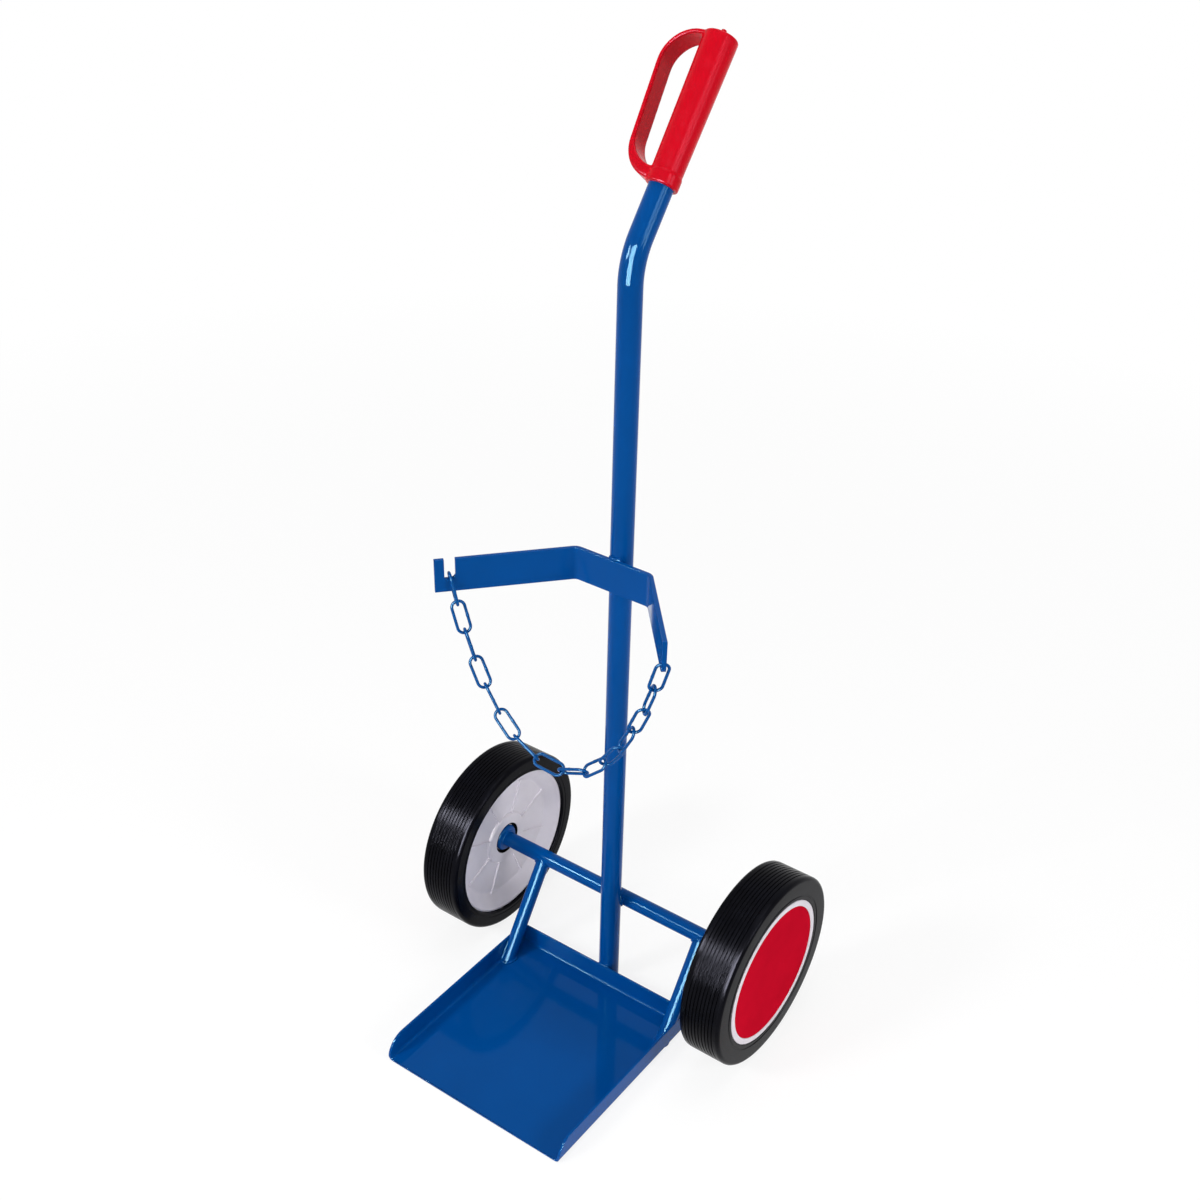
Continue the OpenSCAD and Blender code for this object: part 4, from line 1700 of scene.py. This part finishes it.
@dataclass
class Grip:
    """The moulded sleeve with its collar, closed end, nub and hooped knuckle guard."""

    upright: Upright
    start: float = 76
    length: float = 154
    foot_r: float = 16
    head_r: float = 17.75
    collar_r: float = 17
    collar_h: float = 13
    end_t: float = 5
    bore: float = 13.1
    head_round: float = 2
    nub_r: float = 2.75
    nub_h: float = 4.9
    nub_root: float = 2
    nub_at: Pair = (3, -5)
    head_len: float = 9
    guard_out: float = 55
    guard_flare: float = 10
    guard_low: float = 7
    guard_high: float = 0
    guard_edge: float = 1
    low_r: float = 36
    high_r: float = 35
    foot_t: float = 14
    strap_w: float = 26
    strap_t: float = 4.5
    strap_round: float = 1.6
    strap_rows: int = 180
    bore_from: float = -3
    voxel: float = 0.7
    ease_share: float = 0.5
    ease_rounds: int = 12

    def frame_axes(self) -> tuple[Array, Array]:
        """The grip's own frame: its foot on the handle's axis.

        Returns:
            The origin, and the axes across, back and along the handle as rows.
        """
        lean = math.radians(self.upright.lean)
        along = np.array([0, math.sin(lean), math.cos(lean)])
        back = np.array([0, math.cos(lean), -math.sin(lean)])
        corner = np.array([0, self.upright.y, self.upright.corner_z])
        return corner + along * self.start, np.stack([[1.0, 0, 0], back, along])

    def outline(self, inset: float, foot: float) -> Array:
        """The guard's outline from the sleeve's foot out and up to its head.

        Args:
            inset: How far it is moved in.
            foot: How far its foot is moved up besides.

        Returns:
            Points as distance out from the axis and height, shape (n, 2).
        """
        root = self.upright.radius / 2
        return rounded([(root, self.guard_edge + foot),
                        (self.guard_out - self.guard_flare - inset, self.guard_low + inset),
                        (self.guard_out - inset, self.length - self.guard_high - inset),
                        (root, self.length - self.guard_edge - inset)],
                       [0, self.low_r - inset, self.high_r - inset, 0], 14, closed=False)

    def strap(self) -> Shell:
        """The guard: a rounded rectangle between the outer and the inner outline.

        At station i the section's point (a, b), a from 0 to 1 through the strap and b across
        it, lies at O + a*(I - O) + b*W, with O and I the two outlines and W the guard's width.

        Returns:
            The guard's shell, in the grip's own frame.
        """
        outer, inner = self.outline(0, 0), self.outline(self.strap_t, self.foot_t)
        dense = np.linspace(0, len(outer) - 1, self.strap_rows)
        index = np.arange(len(outer))
        outer = np.stack([np.interp(dense, index, outer[:, k]) for k in (0, 1)], -1)
        inner = np.stack([np.interp(dense, index, inner[:, k]) for k in (0, 1)], -1)
        half = self.strap_w / 2
        shape = rounded([(0, -half), (0, half), (self.strap_t, half), (self.strap_t, -half)],
                        [self.strap_round] * 4, 5)
        a, b = shape[:, 0] / self.strap_t, shape[:, 1]
        flat = outer[:, None] + a[None, :, None] * (inner - outer)[:, None]
        points = np.stack([-flat[..., 0], np.broadcast_to(b, flat.shape[:2]), flat[..., 1]], -1)
        return lattice(points, wrap_v=True, caps=True)

    def body_shells(self) -> list[Shell]:
        """The sleeve and its collar.

        Returns:
            The two shells, in the grip's own frame.
        """
        length, r = self.length, self.head_r
        sleeve = rounded([(AXIS_R, 0), (self.foot_r, 0), (r, length - self.head_len), (r, length),
                          (AXIS_R, length)], [0, 0.8, 0.3, self.head_round, 0], 8, closed=False)
        collar = rounded([(AXIS_R, 0), (self.collar_r, 0), (self.collar_r, self.collar_h),
                          (AXIS_R, self.collar_h)], [0, 1, 1, 0], 5, closed=False)
        return [turned_solid(sleeve), turned_solid(collar)]

    def nub(self) -> Shell:
        """The round nub that the moulding leaves on the closed end.

        Returns:
            The nub's shell, in the grip's own frame.
        """
        low, high = self.length - self.nub_root, self.length + self.nub_h
        nub = turned_solid(rounded([(AXIS_R, low), (self.nub_r, low), (self.nub_r, high),
                                    (AXIS_R, high)], [0, 0, 1.4, 0], 5, closed=False), 48)
        return nub.placed(np.array([*self.nub_at, 0]), np.eye(3))

    def build(self) -> None:
        """Fuse the shells by a fine voxel skin, smooth it, bore it and dress it.

        The nub is a piece of its own, because the skin would wear it away.
        """
        origin, axes = self.frame_axes()
        shells = [s.placed(origin, axes) for s in [*self.body_shells(), self.strap()]]
        piece = build_object("grip", joined(shells))
        skin = piece.modifiers.new("skin", "REMESH")
        skin.mode, skin.voxel_size = "VOXEL", self.voxel * MM
        ease = piece.modifiers.new("ease", "SMOOTH")
        ease.factor, ease.iterations = self.ease_share, self.ease_rounds
        settle(piece)
        bore = np.array([[self.bore, self.bore_from], [self.bore, self.length - self.end_t]])
        carve(piece, [turned_solid(bore).placed(origin, axes)])
        smoothed(piece, 60)
        dress(piece, GRIP_VINYL, FRAME_BODY, "handle_grip")
        tip = build_object("grip_nub", self.nub().placed(origin, axes))
        smoothed(tip)
        dress(tip, GRIP_VINYL, FRAME_BODY)


# Studio


@dataclass
class Lamp:
    """A soft box: where it hangs, what it looks at, its size in metres and its power.

    One that isn't matt shows in glossy surfaces alone and lights no matt ones.
    """

    name: str
    place: Triple
    target: Triple
    size: Pair
    power: float
    matt: bool = True

    def hang(self) -> None:
        """Add the lamp, turned so that its face looks at its target."""
        light = bpy.data.lights.new(self.name, "AREA")
        light.shape, light.energy = "RECTANGLE", self.power
        light.size, light.size_y = self.size
        lamp = bpy.data.objects.new(self.name, light)
        lamp.location = self.place
        lamp.visible_diffuse = self.matt
        way = Vector(self.target) - Vector(self.place)
        lamp.rotation_euler = way.to_track_quat("-Z", "Y").to_euler()
        bpy.context.scene.collection.objects.link(lamp)


@dataclass
class Studio:
    """White floor and surround, soft boxes, and the camera of the photograph."""

    lamps: list[Lamp] = field(default_factory=lambda: [
        Lamp("key_box", (-1.2, -2.5, 2.2), (0, 0, 0.6), (0.7, 0.7), 58),
        Lamp("fill_box", (2.6, 0.3, 1.5), (0, 0.1, 0.4), (0.7, 0.7), 27),
        Lamp("top_box", (0.2, 0.4, 2.9), (0, 0, 0), (1.5, 1.5), 22),
        Lamp("left_gloss", (-1.5, -1.9, 1.9), (0, 0.1, 0.9), (0.5, 0.7), 130, False),
        Lamp("front_gloss", (0.45, -2.0, 1.35), (0, 0.15, 0.96), (1.5, 2.0), 880, False),
        Lamp("right_gloss", (2.3, -0.4, 2.2), (0, 0.1, 0.9), (0.8, 0.9), 30, False),
    ])
    ambient: float = 0.38
    floor_size: float = 30
    floor_glow: Pair = (0.82, 1.0)
    floor_span: Pair = (0.7, 2.6)
    floor_drop: float = 0.2
    floor_grey: Colour = (0.9, 0.9, 0.9)
    floor_matt: float = 0.9
    camera_place: Triple = (0.85041, -1.08564, 1.49823)
    camera_turn: Triple = (54.84464, -1.2736, 35.96641)
    sensor: float = 36
    lens: float = 47.513
    shift: Pair = (-0.0055, 0.0832)

    @staticmethod
    def seen_ray(nodes: bpy.types.Nodes, links: bpy.types.NodeLinks) -> Socket:
        """A socket that is 1 for camera, glossy and transmission rays, and 0 for the rest.

        Args:
            nodes: The nodes of the material or world.
            links: Its links.

        Returns:
            The socket.
        """
        path = nodes.new("ShaderNodeLightPath")
        total = path.outputs["Is Camera Ray"]
        for kind in ("Is Glossy Ray", "Is Transmission Ray"):
            node = nodes.new("ShaderNodeMath")
            node.operation, node.use_clamp = "ADD", True
            links.new(total, node.inputs[0])
            links.new(path.outputs[kind], node.inputs[1])
            total = node.outputs[0]
        return total

    def surround(self) -> None:
        """Make the world white to the eye and to gloss, and plain soft light to all else."""
        world = bpy.data.worlds.new("studio")
        bpy.context.scene.world = world
        world.use_nodes = True
        nodes, links = world.node_tree.nodes, world.node_tree.links
        out = next(n for n in nodes if n.type == "OUTPUT_WORLD")
        seen, soft = nodes.new("ShaderNodeBackground"), nodes.new("ShaderNodeBackground")
        seen.inputs["Color"].default_value = (1, 1, 1, 1)
        soft.inputs["Color"].default_value = (1, 1, 1, 1)
        soft.inputs["Strength"].default_value = self.ambient
        mix = nodes.new("ShaderNodeMixShader")
        links.new(self.seen_ray(nodes, links), mix.inputs[0])
        links.new(soft.outputs[0], mix.inputs[1])
        links.new(seen.outputs[0], mix.inputs[2])
        links.new(mix.outputs[0], out.inputs["Surface"])

    def floor(self) -> None:
        """Lay the floor: white to the eye, with the object's shadow on it.

        The share of its white glow grows with the distance from the object.
        """
        half, z = self.floor_size / 2 / MM, -self.floor_drop
        corners = np.array([[-half, -half, z], [half, -half, z], [half, half, z], [-half, half, z]])
        floor = build_object("studio_floor", Shell(corners, [(0, 1, 2, 3)]))
        material = bpy.data.materials.new("studio_floor")
        material.use_nodes = True
        nodes, links = material.node_tree.nodes, material.node_tree.links
        out = next(n for n in nodes if n.type == "OUTPUT_MATERIAL")
        matt = next(n for n in nodes if n.type == "BSDF_PRINCIPLED")
        matt.inputs["Base Color"].default_value = (*self.floor_grey, 1)
        matt.inputs["Roughness"].default_value = self.floor_matt
        glow, mix = nodes.new("ShaderNodeEmission"), nodes.new("ShaderNodeMixShader")
        away, fade = nodes.new("ShaderNodeVectorMath"), nodes.new("ShaderNodeMapRange")
        away.operation = "LENGTH"
        links.new(nodes.new("ShaderNodeTexCoord").outputs["Object"], away.inputs[0])
        links.new(away.outputs["Value"], fade.inputs["Value"])
        for socket, value in zip(("From Min", "From Max", "To Min", "To Max"),
                                 (*self.floor_span, *self.floor_glow)):
            fade.inputs[socket].default_value = value
        share = nodes.new("ShaderNodeMath")
        share.operation = "MULTIPLY"
        links.new(fade.outputs["Result"], share.inputs[1])
        links.new(self.seen_ray(nodes, links), share.inputs[0])
        links.new(share.outputs[0], mix.inputs[0])
        links.new(matt.outputs[0], mix.inputs[1])
        links.new(glow.outputs[0], mix.inputs[2])
        links.new(mix.outputs[0], out.inputs["Surface"])
        floor.data.materials.append(material)

    def camera(self) -> None:
        """Set the camera that was fitted to the photograph."""
        data = bpy.data.cameras.new("photo_camera")
        data.sensor_width, data.lens = self.sensor, self.lens
        data.shift_x, data.shift_y = self.shift
        camera = bpy.data.objects.new("photo_camera", data)
        turn = Euler([math.radians(angle) for angle in self.camera_turn])
        camera.matrix_world = Matrix.LocRotScale(Vector(self.camera_place), turn, None)
        bpy.context.scene.collection.objects.link(camera)
        bpy.context.scene.camera = camera

    def build(self) -> None:
        """Build the studio."""
        bpy.context.scene.view_settings.view_transform = "Standard"
        self.camera()
        self.surround()
        self.floor()
        for lamp in self.lamps:
            lamp.hang()


def main() -> None:
    """Build the studio and then the cart's pieces in order."""
    logging.basicConfig(level=logging.INFO, format="%(name)s: %(message)s")
    Studio().build()
    upright, plate, axle, bracket = Upright(), ToePlate(), Axle(), Bracket()
    struts = [Strut(side, axle) for side in Side]
    for part in (upright, plate, axle, *struts, bracket):
        part.build()
    Welds(upright, axle, struts, bracket, plate).build()
    Chain(bracket).build()
    for side in Side:
        Wheel(side, axle).build()
    Grip(upright).build()


if __name__ == "__main__":
    main()
